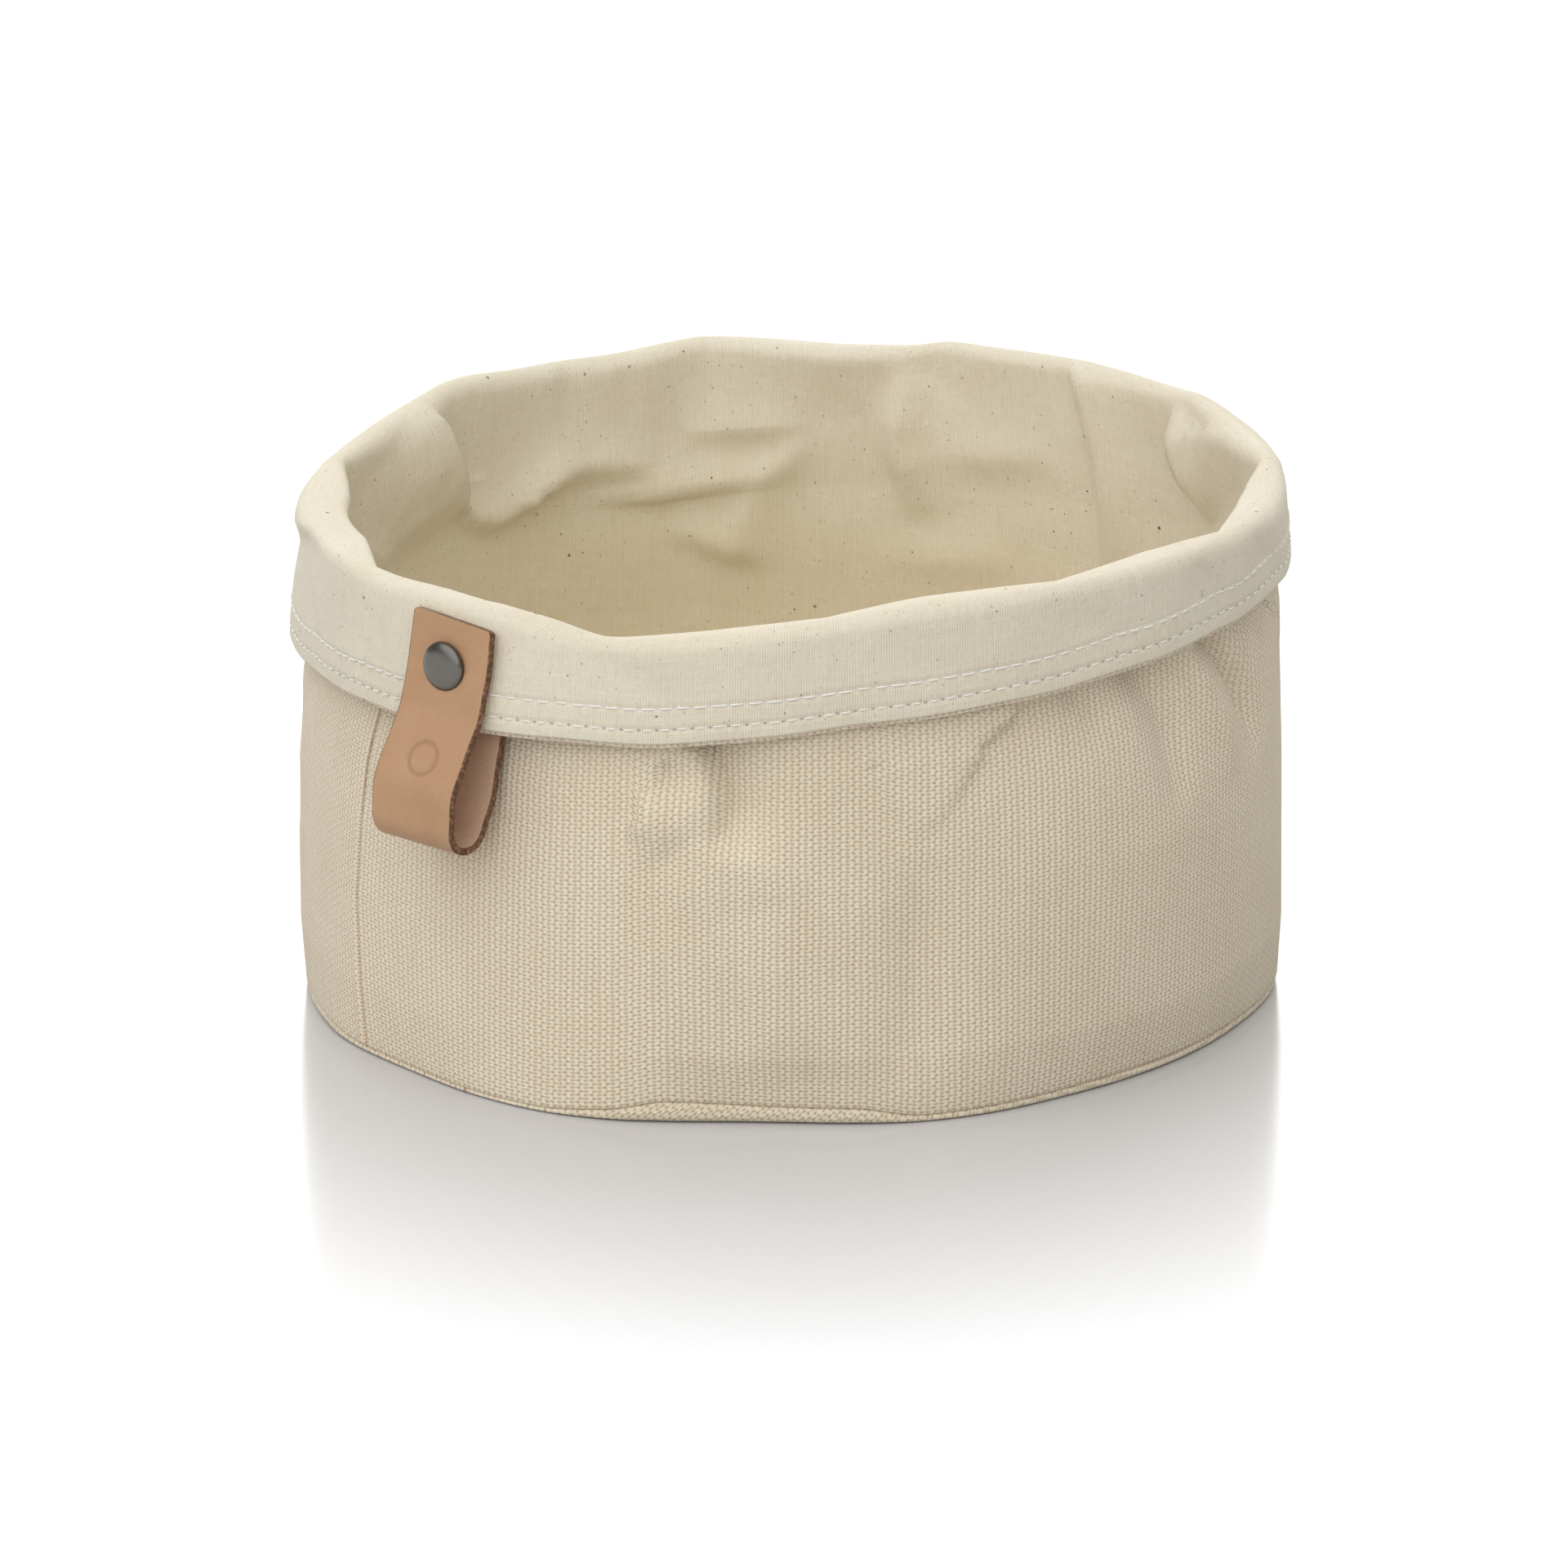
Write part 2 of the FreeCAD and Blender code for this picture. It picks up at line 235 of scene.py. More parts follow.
def rounded(path, spacing):
    """Points along a path with its corners rounded, as (point, radius or height, azimuth)."""
    path = fitted(path)
    before, after = headings(path)
    points, here = [path[0, :2]], path[0, :2]
    for i in range(1, len(path)):
        if i == len(path) - 1:
            points += straight(here, path[i, :2], spacing)
            break
        dot = np.clip((before[i] * after[i]).sum(0), -1, 1)
        angle = np.arccos(dot)
        turn = before[i, 0] * after[i, 1] - before[i, 1] * after[i, 0]
        corner, bend = path[i, :2], path[i, 2]
        start = corner - before[i] * bend * np.tan(angle / 2)
        points += straight(here, start, spacing)
        side = np.where(turn < 0, -1, 1)
        normal = np.stack([-before[i, 1], before[i, 0]]) * side
        middle = start + normal * bend
        steps = int(max(4, min(16, np.mean(angle * bend) / spacing * 2)))
        for k in range(1, steps + 1):
            swing = angle * k / steps
            points.append(middle - normal * bend * np.cos(swing) + before[i] * bend * np.sin(swing))
        here = points[-1]
    return np.array(points)


def straight(start, end, spacing):
    """Even points on a straight run, leaving out its start."""
    length = np.mean(np.hypot(*(end - start)))
    count = max(1, round(length / spacing))
    return [start + (end - start) * k / count for k in range(1, count + 1)]


def mesh_object(name, vertices, faces, flat_ends=False):
    """A new smooth object in the scene; flat_ends leaves faces that aren't quads flat."""
    mesh = bpy.data.meshes.new(name)
    mesh.from_pydata(vertices, [], faces)
    mesh.polygons.foreach_set("use_smooth", [len(face) == 4 or not flat_ends for face in faces])
    made = bpy.data.objects.new(name, mesh)
    bpy.context.scene.collection.objects.link(made)
    return made


def apply(made, modifier):
    """Applies a modifier, so that its result is in the mesh."""
    with bpy.context.temp_override(object=made, active_object=made, selected_objects=[made]):
        bpy.ops.object.modifier_apply(modifier=modifier.name)


def grid_object(name, places, uvs, closed_start=False):
    """A mesh ring through rows of places (row, column, xyz), with a UV map of its cloth in metres."""
    rows, columns = places.shape[:2]
    corners = np.arange(rows * columns).reshape(rows, columns)
    nexts = np.roll(corners, -1, axis=1)
    quads = np.stack([corners[:-1], nexts[:-1], nexts[1:], corners[1:]], -1).reshape(-1, 4)
    vertices = (places * MM).reshape(-1, 3)
    faces = quads.tolist()
    if closed_start:
        faces += [[rows * columns, int(b), int(a)] for a, b in zip(corners[0], nexts[0])]
        vertices = np.vstack([vertices, vertices[:columns].mean(0)])
    made = mesh_object(name, vertices.tolist(), faces)
    flat = (uvs[:, :-1] * MM).reshape(-1, 2)
    wrapped = (uvs[:, 1:] * MM).reshape(-1, 2)
    starts, ends = quads[:, 0], quads[:, 3]
    loops = np.stack([flat[starts], wrapped[starts], wrapped[ends], flat[ends]], 1).reshape(-1, 2)
    if closed_start:
        middle = flat[:columns].mean(0)
        fans = [(middle, wrapped[a], flat[a]) for a in corners[0]]
        loops = np.vstack([loops, np.array(fans).reshape(-1, 2)])
    layer = made.data.uv_layers.new(name="cloth")
    layer.data.foreach_set("uv", loops.astype(np.float32).ravel())
    made.data.update()
    return made


def thicken(made, thickness):
    """Gives a sheet its real thickness, half to each side, and applies it."""
    modifier = made.modifiers.new("thickness", "SOLIDIFY")
    modifier.thickness = thickness * MM
    modifier.offset = 0
    apply(made, modifier)


ROW_SPACING = 1.9           # distance between points down a strip
# Columns: even round the bin, closer together beside the canvas seam
COLUMN_STEP = 0.9
SEAM_STEP = 0.12
SEAM_REACH = 1.8
even = np.arange(0, 360, COLUMN_STEP)
even = even[(even > SEAM_REACH) & (even < 360 - SEAM_REACH)]
fine = np.arange(-SEAM_REACH, SEAM_REACH + SEAM_STEP / 2, SEAM_STEP)
AZ = np.concatenate([fine[fine >= 0], even, fine[fine < 0] + 360]) + SEAM_AZIMUTH
UNROLLED = np.append(AZ, AZ[0] + 360)


def seam_drift(azimuth, height):
    """Degrees the canvas seam wanders to one side; the cloth beside it goes along."""
    drift = np.interp(height, [0, 31, 60, 74], [-0.2, -2.0, -0.2, 2.0])
    return drift * bell(away(azimuth, SEAM_AZIMUTH), 12)


def place(radius, height, drift=True):
    """Cloth points in space, from radius and height by row and column."""
    azimuth = np.radians(AZ + (seam_drift(AZ, height) if drift else 0))
    return np.stack([radius * np.sin(azimuth), -radius * np.cos(azimuth), height], -1)


def lengths(radius, height):
    """Length of cloth from the first row to each row."""
    steps = np.hypot(np.diff(radius, axis=0), np.diff(height, axis=0))
    return np.concatenate([0 * steps[:1], np.cumsum(steps, 0)])


# The wall's shape round the bin, by azimuth
ROOM = bell(away(AZ, -2.5), 17)     # where the strap pushes between the cuff and the wall
RIM_TOP = around(RIM, AZ) + 1.8 * bell(away(AZ, 190), 105) - COTTON - PLY_GAP
EDGE = around(CUFF_EDGE, AZ, 5) + swell(AZ, [(9, 0.25, 20), (23, 0.12, 80)])
FOOT_RADIUS = around(FOOT, AZ, 3)
LIFTED = around(LIFT, AZ, 0.8)
WANDER = swell(AZ, [(3, 0.5, 70), (5, 0.4, 10), (8, 0.3, 200), (13, 0.15, 40)])
WANDER += 0.5 * bell(away(AZ, -50), 25)
CUFF_FACE = CUFF_RADIUS + 1.2 * ROOM + WANDER
FACING = CUFF_FACE - COTTON / 2
COTTON_HEM = FACING - COTTON - PLY_STEP
CANVAS_HEM = COTTON_HEM - (COTTON + CANVAS) / 2 - PLY_STEP
CUFF_PLY = CANVAS_HEM - CANVAS - PLY_STEP
CANVAS_EDGE = EDGE + CANVAS / 2
COTTON_EDGE = EDGE + COTTON_EDGE_RISE + COTTON / 2
CANVAS_FOLD = (CANVAS_HEM - CUFF_PLY) / 2
COTTON_FOLD = (FACING - COTTON_HEM) / 2
EDGE_ROOM, HEM_ROOM = 2.9 * ROOM, 1.6 * ROOM    # what the strap adds at the cuff's edge and hem top
BASE_FOLD = LIFTED + 0.1
WALL_FOLD = BASE_FOLD + CANVAS + 0.02
BASE_RAW = FOOT_RADIUS - 2.0
WALL_RAW = BASE_RAW + CANVAS + 0.1
SAG = np.minimum(chord_sag(AZ), DEEPEST_SAG)
INNER_BEND = around(INNER_BENDS, AZ, 3)


def wall_radius(lean, sag_share):
    """Middle of the canvas, leaning in and drawn in by a share of the rim's flattening."""
    return WALL_RADIUS + WANDER - lean - sag_share * SAG


ROLL_TOP = RIM_TOP - CANVAS / 2
ROLL_OUTER = CUFF_PLY - 0.8 * ROOM - 0.08 * SAG
ROLL_INNER = ROLL_OUTER - around(PINCH, AZ, 3) - SAG
OUTER_BEND = 2.0 + swell(AZ, [(4, 0.2, 0), (7, 0.15, 60)])
CANVAS_PATH = fitted(path_of(
    (WALL_RAW, ALLOWANCE_TOP, 0),
    (WALL_RAW, WALL_FOLD, 0.45),
    (FOOT_RADIUS - CANVAS / 2, WALL_FOLD, 0.45),
    (0.5 * (FOOT_RADIUS + WALL_RADIUS) + 0.4, 14, 12),
    (wall_radius(0, 0), 48, 22),
    (wall_radius(0.6 + 1.4 * ROOM, 0.08), EDGE - 9, 14),
    (wall_radius(2.1 + 2.2 * ROOM, 0.25), EDGE + 6, 12),
    (ROLL_INNER, ROLL_TOP, INNER_BEND),
    (ROLL_OUTER, ROLL_TOP, OUTER_BEND),
    (CUFF_PLY + EDGE_ROOM, CANVAS_EDGE, CANVAS_FOLD),
    (CANVAS_HEM + EDGE_ROOM, CANVAS_EDGE, CANVAS_FOLD),
    (CANVAS_HEM + HEM_ROOM, EDGE + HEM, 0),
))
LINER_OFFSET = (CANVAS + COTTON) / 2 + PLY_GAP
LINER_INNER = parallel(CANVAS_PATH[2:10], LINER_OFFSET)[1:7]
LINER_RAW = BASE_RAW - 1.6
LINER_FOOT = LINER_RAW - 0.55 - COTTON
LINER_PATH = np.concatenate([
    path_of(
        (LINER_RAW - 0.5, ALLOWANCE_TOP, 0),
        (LINER_RAW - 0.5, 3.2, 0.25),
        (LINER_FOOT - 0.1, 3.2, 0.25),
        (LINER_FOOT - 0.1, ALLOWANCE_TOP + 1, 8),
        (WALL_RADIUS - LINER_OFFSET - 1.2 + WANDER, 26, 15),
    ),
    LINER_INNER[1:],
    path_of(
        (FACING + EDGE_ROOM, COTTON_EDGE, COTTON_FOLD),
        (COTTON_HEM + EDGE_ROOM, COTTON_EDGE, COTTON_FOLD),
        (COTTON_HEM + HEM_ROOM, EDGE + HEM, 0),
    ),
])

# Fold lines as (route of (azimuth, height), depth, width to the left, width to the right, fades)
BOTH_FADE, STARTS_FULL = (True, True), (False, True)
ENDS_FULL, NO_FADE = (True, False), (False, False)
LINER_CREASES = [
    ([(-86, 104), (-89, 94), (-92.5, 85), (-94, 76)], 5.5, 24, 1.1, BOTH_FADE),
    ([(-92, 83), (-93.5, 78), (-96.5, 74), (-100, 72.6), (-104, 74.5), (-109, 80), (-113, 82)],
     3.2, 1.2, 7, BOTH_FADE),
    ([(-103, 73), (-107, 77), (-111, 80), (-116, 80.5), (-123, 79)], 3.0, 1.5, 9, BOTH_FADE),
    ([(-114, 74), (-120, 72.5), (-126, 73.2), (-131, 74.2), (-141, 78)], 2.6, 1.4, 8, BOTH_FADE),
    ([(-126, 86), (-131, 86.5), (-137, 87), (-144, 88)], 1.9, 2.2, 8, BOTH_FADE),
    ([(-124, 65), (-129, 62), (-133, 59), (-138, 58)], 1.7, 1.6, 7, BOTH_FADE),
    ([(-156, 101), (-154, 94), (-153, 86), (-155, 76), (-156, 68)], 3.4, 3.2, 11, BOTH_FADE),
    ([(-158, 83), (-164, 82), (-170, 84), (-176, 85)], 1.2, 3, 8, BOTH_FADE),
    ([(-150, 58), (-160, 58.5), (-170, 61)], 1.0, 3, 8, BOTH_FADE),
    ([(181, 106), (178.5, 94), (177, 80), (176.5, 62)], 2.4, 1.6, 12, STARTS_FULL),
    ([(163, 104), (163.5, 98), (160.5, 91), (157, 82)], 4.2, 1.1, 20, BOTH_FADE),
    ([(120, 100), (126, 88), (124, 74)], 1.5, 3, 9, BOTH_FADE),
    ([(60, 90), (66, 76), (72, 66)], 1.6, 2.5, 9, BOTH_FADE),
    ([(20, 84), (30, 72), (44, 70)], 1.5, 2.5, 9, BOTH_FADE),
    ([(-40, 80), (-52, 72), (-66, 74)], 1.5, 2.5, 8, BOTH_FADE),
]
CANVAS_CREASES = [
    ([(4, 75), (14, 74.5), (23, 72.5), (27, 70)], 2.7, 4, 4, ENDS_FULL),
    ([(9, 68), (17, 67.5), (23, 64), (27, 57)], -3.6, 6, 8, BOTH_FADE),
    ([(29.5, 79), (32, 71), (33, 64), (31.5, 56)], 6.4, 8.5, 2.2, STARTS_FULL),
    ([(62, 80), (76, 82), (92, 84), (112, 86)], 2.6, 3, 14, NO_FADE),
    ([(74, 86), (77, 79), (80, 72)], 1.3, 4, 4, STARTS_FULL),
    ([(84, 88), (88, 78), (91, 66), (92, 54)], 3.4, 7, 6, STARTS_FULL),
    ([(93, 90), (97, 78), (101, 66), (103, 54)], -1.8, 5, 4, STARTS_FULL),
    ([(99, 90), (104, 79), (108, 69), (110, 58)], 5.4, 5, 3.5, STARTS_FULL),
    ([(36, 44), (39, 24), (41, 8)], -1.3, 10, 9, BOTH_FADE),
    ([(56, 54), (55, 40), (54, 20), (53, 6)], 1.6, 12, 8, ENDS_FULL),
    ([(-48, 62), (-52, 46), (-50, 30)], 0.9, 8, 8, BOTH_FADE),
    ([(140, 84), (146, 72), (150, 60)], 2.0, 6, 4, STARTS_FULL),
    ([(-75, 76), (-80, 64), (-82, 50)], 1.8, 6, 4, STARTS_FULL),
    ([(-140, 82), (-134, 70), (-132, 56)], 2.2, 4, 7, STARTS_FULL),
    ([(175, 84), (180, 70), (182, 58)], -1.4, 8, 8, STARTS_FULL),
]

CUFF_CREASES = [
    ([(-66, 88), (-54, 90.5), (-44, 94.5), (-36, 99)], 1.5, 1.0, 9, NO_FADE),
    ([(-30, 76), (-34, 84), (-40, 90)], 0.5, 3, 3, BOTH_FADE),
    ([(14, 98), (24, 90), (30, 80)], 0.6, 4, 7, BOTH_FADE),
    ([(50, 101), (56, 92), (60, 84)], 0.5, 4, 7, BOTH_FADE),
    ([(70, 103), (80, 94), (86, 88)], 0.6, 3, 7, BOTH_FADE),
    ([(92, 104), (98, 96), (100, 88)], 0.8, 3, 6, BOTH_FADE),
    ([(106, 104), (110, 98), (118, 90)], 0.7, 3, 6, BOTH_FADE),
    ([(150, 102), (158, 95), (164, 88)], 0.8, 3, 8, BOTH_FADE),
    ([(-120, 102), (-128, 94), (-134, 85)], 0.9, 3, 8, BOTH_FADE),
    ([(-95, 100), (-100, 92), (-98, 82)], 0.7, 3, 7, BOTH_FADE),
]


def cuff_push(rows, crest, height):
    """How far the cuff's creases press all its plies towards the axis."""
    below_rim = np.clip((RIM_TOP + 0.4 - height) / 2.5, 0, 1)
    return creased(CUFF_CREASES, height, (rows >= crest) * below_rim)


def creased(creases, height, wall):
    """The pushes of several fold lines on the rows of the wall, towards the bin's axis."""
    azimuth = np.broadcast_to(AZ, height.shape)
    return sum(crease(azimuth, height, *each) for each in creases) * wall


def cloth_map(up):
    """A wall's cloth laid out flat: length round the bin from the canvas seam, and up the cloth."""
    across = (UNROLLED - SEAM_AZIMUTH) * math.radians(WALL_RADIUS)
    across = np.broadcast_to(across, (len(up), len(across)))
    return np.stack([across, np.concatenate([up, up[:, :1]], 1)], -1)


def faded(height, foot, foot_reach, top, top_reach, least=0.0):
    """1 on the wall, fading away above its foot and below its top."""
    above = np.clip((height - foot) / foot_reach, 0, 1)
    return above * np.clip((top - height) / top_reach, least, 1)


def canvas_wall():
    """The canvas strip, from its raw edge inside the base, up, over the rim and down to its hem."""
    points = rounded(CANVAS_PATH, ROW_SPACING)
    radius, height = points[:, 0], points[:, 1]
    crest = int(np.argmax(height.mean(1)))
    rows = np.arange(len(height))[:, None]
    face = (rows < crest) * (radius > WALL_RAW + 0.5)
    wall = face * faded(height, 6, 10, RIM_TOP - 8, 8)
    radius = radius - creased(CANVAS_CREASES, height, wall)
    seam = away(AZ, SEAM_AZIMUTH) * math.radians(WALL_RADIUS)
    groove = 0.65 * bell(seam, 0.36) - 0.2 * bell(seam + 1.8, 1.1) - 0.2 * bell(seam - 1.7, 1.0)
    radius = radius - groove * (rows < crest) * (radius > WALL_RAW + 0.5)
    radius = radius - cuff_push(rows, crest, height)
    run = lengths(radius, height)
    fold = int(np.argmin(height.mean(1)))
    made = grid_object("canvas_wall", place(radius, height), cloth_map(run - run[fold]))
    thicken(made, CANVAS)
    return made, radius, height


def cotton_wall():
    """The lining strip, from its raw edge inside, up the wall, over the rim and down the cuff."""
    points = rounded(LINER_PATH, ROW_SPACING)
    radius, height = points[:, 0], points[:, 1]
    crest = int(np.argmax(height.mean(1)))
    rows = np.arange(len(height))[:, None]
    inner = (rows < crest) & (radius < WALL_RADIUS + 5)
    wall = inner * faded(height, 14, 12, RIM_TOP + 2.5, 5, 0.25)
    push = LINER_DEPTH * creased(LINER_CREASES, height, wall)
    pressed = inner * faded(height, 6, 10, RIM_TOP - 8, 8)
    push = push + np.maximum(creased(CANVAS_CREASES, height, pressed), 0)
    slack = swell(AZ, [(17, 0.30, 40), (29, 0.20, 10)]) * np.sin(height / 13 + AZ / 40)
    allowance = 0.9 * bell(away(AZ, SEAM_AZIMUTH) * math.radians(WALL_RADIUS), 4.5) * pressed
    radius = radius - push - allowance - wall * np.abs(slack) - cuff_push(rows, crest, height)
    run = lengths(radius, height)
    edge = int(len(height) - 1 - np.argmin(height[crest:].mean(1)[::-1]))
    made = grid_object("cotton_wall", place(radius, height), cloth_map(run[edge] - run))
    thicken(made, COTTON)
    return made, radius, height, crest


def disc(name, path, thickness, spacing):
    """A round base turned up at its edge; its weave lies flat across it."""
    points = rounded(path, spacing)
    radius, height = points[1:, 0], points[1:, 1]
    run = lengths(radius, height) + radius[:1]
    angle = np.radians(np.append(AZ, AZ[0]))
    wide = np.concatenate([run, run[:, :1]], 1)
    uvs = np.stack([wide * np.sin(angle), -wide * np.cos(angle)], -1)
    made = grid_object(name, place(radius, height, drift=False), uvs, closed_start=True)
    thicken(made, thickness)
    return made


def canvas_base():
    """The canvas disc: flat, up round the foot, and in under the wall's fold to its raw edge."""
    rise = np.maximum(BASE_FOLD - CANVAS / 2, 0.12)
    face = FOOT_RADIUS - CANVAS / 2 - 0.25
    path = path_of(
        (0.5, CANVAS / 2, 0),
        (face, CANVAS / 2, np.minimum(rise * 0.49, 1.5)),
        (face, CANVAS / 2 + rise, np.minimum(rise * 0.49, 0.4)),
        (BASE_RAW, CANVAS / 2 + rise, 0.4),
        (BASE_RAW, ALLOWANCE_TOP, 0),
    )
    return disc("canvas_base", path, CANVAS, 3.0)


def cotton_base():
    """The cotton disc, lying a little unevenly on the canvas base."""
    floor = CANVAS + COTTON / 2 + 0.2
    inner = LINER_RAW - 0.5 + COTTON + 0.1
    path = path_of((0.5, floor, 0), (inner, floor, 1.5), (inner, ALLOWANCE_TOP, 0))
    return disc("cotton_base", path, COTTON, 3.0)


# Threads
def on_wall(azimuth, radius, height):
    """Points at an azimuth, radius and height, and their directions away from the bin's axis."""
    turn = np.radians(azimuth)
    normals = np.stack([np.sin(turn), -np.cos(turn), 0 * turn], -1)
    return normals * radius[:, None] + np.stack([0 * height, 0 * height, height], -1), normals


def tube(name, rows, thickness):
    """Short threads, each a row of (middle, outward) points and normals, as one closed mesh."""
    sides = 7
    vertices, faces = [], []
    for middles, normals in rows:
        start = len(vertices)
        count = len(middles)
        ways = np.gradient(middles, axis=0)
        ways /= np.linalg.norm(ways, axis=1)[:, None]
        across = np.cross(normals, ways)
        for k in range(count):
            slim = thickness / 2 * (0.75 if k in (0, count - 1) else 1)
            for i in range(sides):
                turn = 2 * math.pi * i / sides
                offset = math.cos(turn) * normals[k] + math.sin(turn) * across[k]
                vertices.append((middles[k] + slim * offset) * MM)
        for k in range(count - 1):
            for i in range(sides):
                here, right = start + k * sides + i, start + k * sides + (i + 1) % sides
                faces.append((here, right, right + sides, here + sides))
        faces.append(tuple(range(start + sides - 1, start - 1, -1)))
        last = start + (count - 1) * sides
        faces.append(tuple(range(last, last + sides)))
    return mesh_object(name, vertices, faces)


def stitch_count(radius):
    """How many stitches go round the bin at about this radius."""
    return round(2 * math.pi * float(np.mean(radius)) / STITCH)


def sewn_ring(name, radius, height, thickness, share_on_top, sunk=0.3):
    """Stitches round the bin, on a surface whose radius and height are given at each column."""
    count = stitch_count(radius)
    rng = np.random.default_rng(7)
    rows = []
    for k in range(count):
        middle = (k + 0.05 * rng.standard_normal()) * 360 / count
        half = 0.5 * 360 / count * share_on_top * (1 + 0.12 * rng.standard_normal())
        share = np.linspace(-1, 1, 7)
        azimuth = middle + share * half
        r = np.interp(azimuth, AZ, radius, period=360)
        z = np.interp(azimuth, AZ, height, period=360) + 0.05 * rng.standard_normal()
        lie = r + thickness * 0.30 - sunk * np.abs(share) ** 4
        rows.append(on_wall(azimuth, lie, z))
    return tube(name, rows, thickness)


def sewn_seam(name, azimuth, radius, height, thickness, drift):
    """Stitches up a side seam, through points given from the bottom up."""
    lengths_up = np.concatenate([[0], np.cumsum(np.hypot(np.diff(radius), np.diff(height)))])
    count = int(lengths_up[-1] / STITCH)
    rows = []
    for k in range(count):
        along = (k + np.linspace(0.1, 0.9, 5)) * STITCH
        r, z = np.interp(along, lengths_up, radius), np.interp(along, lengths_up, height)
        rows.append(on_wall(azimuth + (seam_drift(azimuth, z) if drift else 0 * z), r, z))
    return tube(name, rows, thickness)


def cuff_face(radius, height, crest, level):
    """Radius of the cotton on the cuff's face, at a level given by column."""
    radius, height = radius[crest:-12][::-1], height[crest:-12][::-1]
    return np.array([np.interp(level[j], height[:, j], radius[:, j]) for j in range(len(AZ))])


# Leather and metal
def strap_path():
    """Middle of the strap, from the top of the back leg, round the bottom, up the front leg."""
    back = -LOOP_HIGH.y + 0.9
    front = -CAP_HIGH.y - STRAP / 2 - 0.03
    bottom = LOOP_LOW.z + STRAP / 2 + 0.3
    return path_of(
        (back, LOOP_HIGH.z - 2, 0),
        (back + 0.5, RIVET_HEIGHT - 2, 20),
        (back + 1.7, RIVET_HEIGHT - 13.5, 14),
        (back + 4.1, bottom + 9.5, 14),
        (back + 8.2, bottom, 5.2),
        (front + 10.4, bottom, 5.6),
        (front + 10.1, bottom + 12.0, 10),
        (front + 2.4, RIVET_HEIGHT - 9.0, 10),
        (front, RIVET_HEIGHT, 20),
        (front - 1.3, LOOP_HIGH.z, 0),
    )


def strap_section():
    """The strap's outline across, as (across, through, finish): 0 grain side, 1 flesh side, 2 edge."""
    half, deep, soft = STRAP_WIDTH / 2, STRAP / 2, 0.3
    outline = [(across, deep, 0) for across in np.linspace(-half + soft, half - soft, 62)]
    for side in (1, -1):
        corners = ((deep - soft, 90, 0), (soft - deep, 0, -90)) if side > 0 else (
            (soft - deep, -90, 0), (deep - soft, 0, 90))
        for middle, start, end in corners:
            for turn in np.radians(np.linspace(start, end, 5)):
                across = side * (half - soft + soft * math.cos(turn))
                point = (across, middle + soft * math.sin(turn), 2)
                if abs(abs(point[1]) - deep) > 1e-6:
                    outline.append(point)
        if side > 0:
            outline += [(across, -deep, 1) for across in np.linspace(half - soft, -half + soft, 26)]
    return outline


MARK_HEIGHT = 71.0          # a plain ring pressed into the loop's front
MARK_RADIUS = 3.3
MARK_WIDTH = 0.42
MARK_DEPTH = 0.32
STRAP_CORNER = 1.1          # rounding of the strap's cut corners
STRAP_STEP = 0.36           # distance between points along the strap
STRAP_TILT = 1.6            # degrees the strap hangs askew, its lower end towards -X
STRAP_SHIFT = 0.5           # its middle is this far from the rivet's, towards +X


